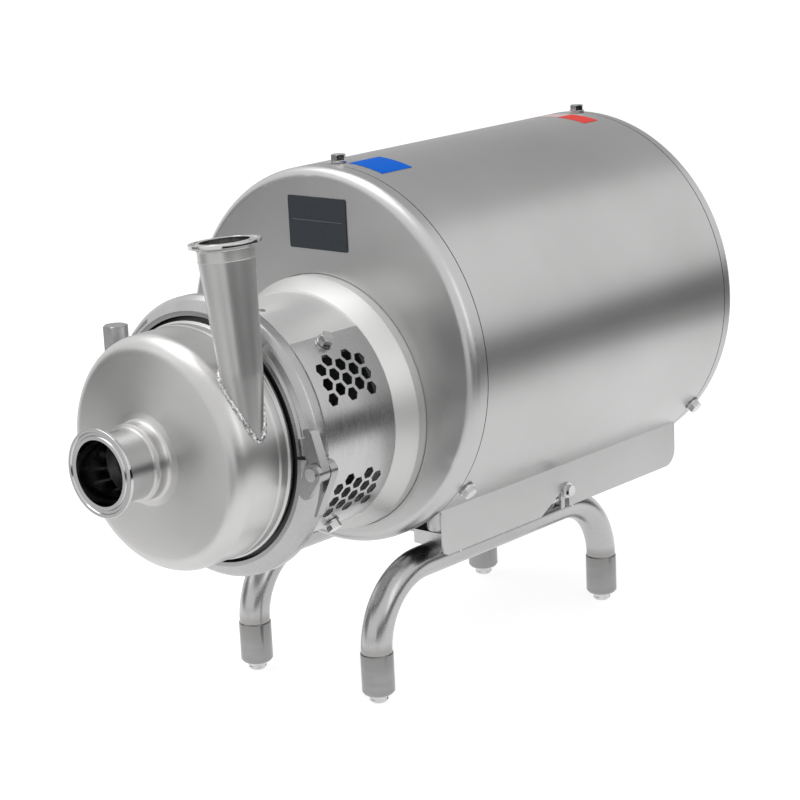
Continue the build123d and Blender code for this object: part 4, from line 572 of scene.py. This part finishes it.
def plate_bar(name, width, height, level, deep, material):
    bpy.ops.mesh.primitive_cube_add(size=1.0, location=place(0, 0.23246 - deep / 2, level))
    piece = bpy.context.object
    piece.scale = (width, deep, height)
    bpy.ops.object.transform_apply(location=True, rotation=True, scale=True)
    edge = piece.modifiers.new("edge", "BEVEL")
    edge.width = 0.00008
    edge.segments = 2
    apply_all(piece)
    settle(piece, name, material, "stand")


plate_line = film_patch("plate_line", grey(0.16), grey(0.20))
plate_bar("nameplate_line", 0.050, 0.0006, 0.1386, 0.00012, plate_line)


def wrap_film(name, material, start, end, low, high):
    """A thin plain film on the wrap, spun round the shroud's centre."""
    radius = SHROUD_RADIUS + FILM_LIFT
    bpy.ops.mesh.primitive_plane_add(size=1.0, location=(0, 0, 0))
    piece = bpy.context.object
    piece.scale = (0.00016, end - start, 1)
    piece.location = (radius, (start + end) / 2 - HALF_LENGTH, 0)
    bpy.ops.object.transform_apply(location=True, rotation=True, scale=True)
    bpy.ops.object.mode_set(mode="EDIT")
    bpy.ops.mesh.select_all(action="SELECT")
    bpy.ops.transform.rotate(value=math.radians(high), orient_axis="Y", center_override=(0, 0, 0))
    bpy.ops.mesh.spin(steps=14, angle=math.radians(high - low), center=(0, 0, 0), axis=(0, -1, 0))
    bpy.ops.mesh.select_all(action="SELECT")
    bpy.ops.mesh.remove_doubles(threshold=0.00001)
    bpy.ops.mesh.normals_make_consistent(inside=False)
    bpy.ops.object.mode_set(mode="OBJECT")
    piece.location = (0, 0, SHROUD_CENTRE)
    settle(piece, name, material, "stand")


blue_film = film_patch("blue_film", (0.001, 0.13, 0.68), (0.002, 0.15, 0.74))
red_film = film_patch("red_film", (0.84, 0.07, 0.06), (0.90, 0.085, 0.07))
pale_film = film_patch("pale_film", (0.66, 0.52, 0.54), (0.74, 0.60, 0.62))
wrap_film("blue_wrap_film", blue_film, 0.2612, 0.2952, 73.3, 86.5)
wrap_film("red_wrap_film", red_film, 0.524, 0.5425, 77.4, 88.2)
wrap_film("pale_wrap_film", pale_film, 0.524, 0.5425, 88.4, 98.0)


# Floor, backdrop, lamps and camera

def camera_white(finish, resting):
    """Makes a surface look white to the camera and in reflections, and lit as usual for all else."""
    path = finish.tree.nodes.new("ShaderNodeLightPath")
    seen = finish.arithmetic("MAXIMUM", path.outputs["Is Camera Ray"], path.outputs["Is Glossy Ray"])
    seen = finish.arithmetic("MAXIMUM", seen, path.outputs["Is Transmission Ray"])
    finish.shader.inputs["Emission Color"].default_value = (1, 1, 1, 1)
    finish.link(finish.arithmetic("MULTIPLY", seen, resting), finish.shader.inputs["Emission Strength"])


def pale_floor():
    bpy.ops.mesh.primitive_plane_add(size=12.0, location=(0, 0, -0.0002))
    floor = bpy.context.object
    floor.name = "studio_floor"
    finish = Finish("studio_floor", 0.0, 0.9, (0.42, 0.42, 0.42))
    finish.shader.inputs["Specular IOR Level"].default_value = 0.0
    camera_white(finish, 0.84)
    floor.data.materials.append(finish.material)


def studio_world():
    world = bpy.data.worlds.new("studio_world")
    bpy.context.scene.world = world
    world.use_nodes = True
    tree = world.node_tree
    tree.nodes.clear()
    output = tree.nodes.new("ShaderNodeOutputWorld")
    light = tree.nodes.new("ShaderNodeBackground")
    path = tree.nodes.new("ShaderNodeLightPath")
    first = tree.nodes.new("ShaderNodeMath")
    second = tree.nodes.new("ShaderNodeMath")
    level = tree.nodes.new("ShaderNodeMapRange")
    first.operation = second.operation = "MAXIMUM"
    light.inputs["Color"].default_value = (1, 1, 1, 1)
    level.inputs["To Min"].default_value = 0.55
    level.inputs["To Max"].default_value = 1.0
    tree.links.new(path.outputs["Is Camera Ray"], first.inputs[0])
    tree.links.new(path.outputs["Is Transmission Ray"], first.inputs[1])
    tree.links.new(first.outputs[0], second.inputs[0])
    tree.links.new(path.outputs["Is Glossy Ray"], second.inputs[1])
    tree.links.new(second.outputs[0], level.inputs["Value"])
    tree.links.new(level.outputs["Result"], light.inputs["Strength"])
    tree.links.new(light.outputs[0], output.inputs["Surface"])


def studio_card(name, spot, aim, size, tone, turn=None):
    """A grey card beside the set, which only reflections see. Its size is height and width."""
    bpy.ops.mesh.primitive_plane_add(size=1.0, location=spot)
    card = bpy.context.object
    card.name = name
    card.scale = (size[1], size[0], 1)
    card.rotation_euler = (Vector(aim) - Vector(spot)).to_track_quat("Z", "Y").to_euler()
    if turn is not None:
        card.rotation_euler = (0, 0, math.radians(turn))
    finish = Finish(name, 0.0, 1.0, (0.0, 0.0, 0.0))
    finish.shader.inputs["Specular IOR Level"].default_value = 0.0
    finish.shader.inputs["Emission Color"].default_value = (1, 1, 1, 1)
    finish.shader.inputs["Emission Strength"].default_value = tone
    card.data.materials.append(finish.material)
    card.visible_camera = card.visible_diffuse = card.visible_shadow = False
    card.visible_transmission = card.visible_volume_scatter = False


def lamp(name, spot, aim, size, power):
    data = bpy.data.lights.new(name, "AREA")
    data.shape = "RECTANGLE"
    data.size = size[0]
    data.size_y = size[1]
    data.energy = power
    holder = bpy.data.objects.new(name, data)
    holder.location = spot
    holder.rotation_euler = (Vector(aim) - Vector(spot)).to_track_quat("-Z", "Y").to_euler()
    bpy.context.scene.collection.objects.link(holder)


def photo_camera():
    level = math.cos(CAMERA_ELEVATION)
    back = Vector((math.sin(CAMERA_AZIMUTH) * level, -math.cos(CAMERA_AZIMUTH) * level,
                   math.sin(CAMERA_ELEVATION)))
    right = Vector((math.cos(CAMERA_AZIMUTH), math.sin(CAMERA_AZIMUTH), 0.0))
    up = back.cross(right)
    across = right * math.cos(CAMERA_ROLL) + up * math.sin(CAMERA_ROLL)
    upward = up * math.cos(CAMERA_ROLL) - right * math.sin(CAMERA_ROLL)
    spot = back * CAMERA_BACK + across * CAMERA_ACROSS + upward * CAMERA_UP
    data = bpy.data.cameras.new("photo_camera")
    data.sensor_width = 36.0
    data.lens = CAMERA_LENS
    data.shift_x, data.shift_y = CAMERA_SHIFT
    data.clip_end = 50.0
    camera = bpy.data.objects.new("photo_camera", data)
    turn = Matrix((across, upward, back)).transposed()
    camera.matrix_world = Matrix.Translation(place(*spot)) @ turn.to_4x4()
    bpy.context.scene.collection.objects.link(camera)
    bpy.context.scene.camera = camera


pale_floor()
studio_world()
# Cards that only reflections see: they give the polished steel its dark and grey bands
for mark, turn in (("a", -30), ("b", 14)):
    heading = math.radians(turn)
    side = Vector((math.cos(heading), math.sin(heading), 0))
    studio_card(f"dark_card_side_{mark}", side * 1.5 + Vector((0, 0, 0.16)), (0, 0, 0.16),
                (0.32, 1.4), 0.0)
    studio_card(f"dark_card_floor_{mark}", side * 1.22 + Vector((0, 0, 0.004)),
                side * 1.22 + Vector((0, 0, 9)), (1.25, 0.56), 0.02, turn)
    studio_card(f"grey_card_floor_{mark}", side * 0.83 + Vector((0, 0, 0.002)),
                side * 0.83 + Vector((0, 0, 9)), (0.95, 0.26), 0.40, turn)

CARDS = (
    ("dark_card_rear", (0.98, 1.12, 0.16), (0, 0, 0.16), (0.32, 1.6), 0.05),
    ("dark_card_rear_floor", (0.80, 0.88, 0.003), (0.80, 0.88, 9.0), (1.4, 0.36), 0.20, 48),
    ("grey_card_ceiling", (-1.0, 2.5, 2.5), (0, 0, 0.3), (2.4, 3.4), 0.48),
    ("grey_card_front", (-1.05, -1.35, 0.002), (-1.05, -1.35, 9.0), (1.9, 2.1), 0.70),
    ("grey_card_front_right", (0.28, -1.25, 0.001), (0.28, -1.25, 9.0), (1.3, 0.62), 0.32, -8),
    ("grey_card_left", (-1.45, -1.0, 0.36), (0, 0, 0.3), (0.8, 1.3), 0.26),
    ("grey_card_back_left_floor", (-0.80, 0.70, 0.001), (-0.80, 0.70, 9.0), (1.3, 1.1), 0.50),
    ("grey_card_back_left", (-1.25, 1.35, 0.55), (0, 0, 0.3), (1.0, 1.6), 0.55),
)
for card in CARDS:
    studio_card(*card)

lamp("top_softbox", (-0.5, -0.35, 2.0), (0, 0, 0.25), (1.7, 1.5), 12.5)
lamp("left_softbox", (-1.3, -1.9, 1.5), (0, 0, 0.2), (0.9, 0.9), 1)
lamp("right_softbox", (2.2, -0.3, 1.2), (0, 0, 0.2), (0.8, 1.4), 3)
photo_camera()

bpy.context.scene.view_settings.view_transform = "Standard"
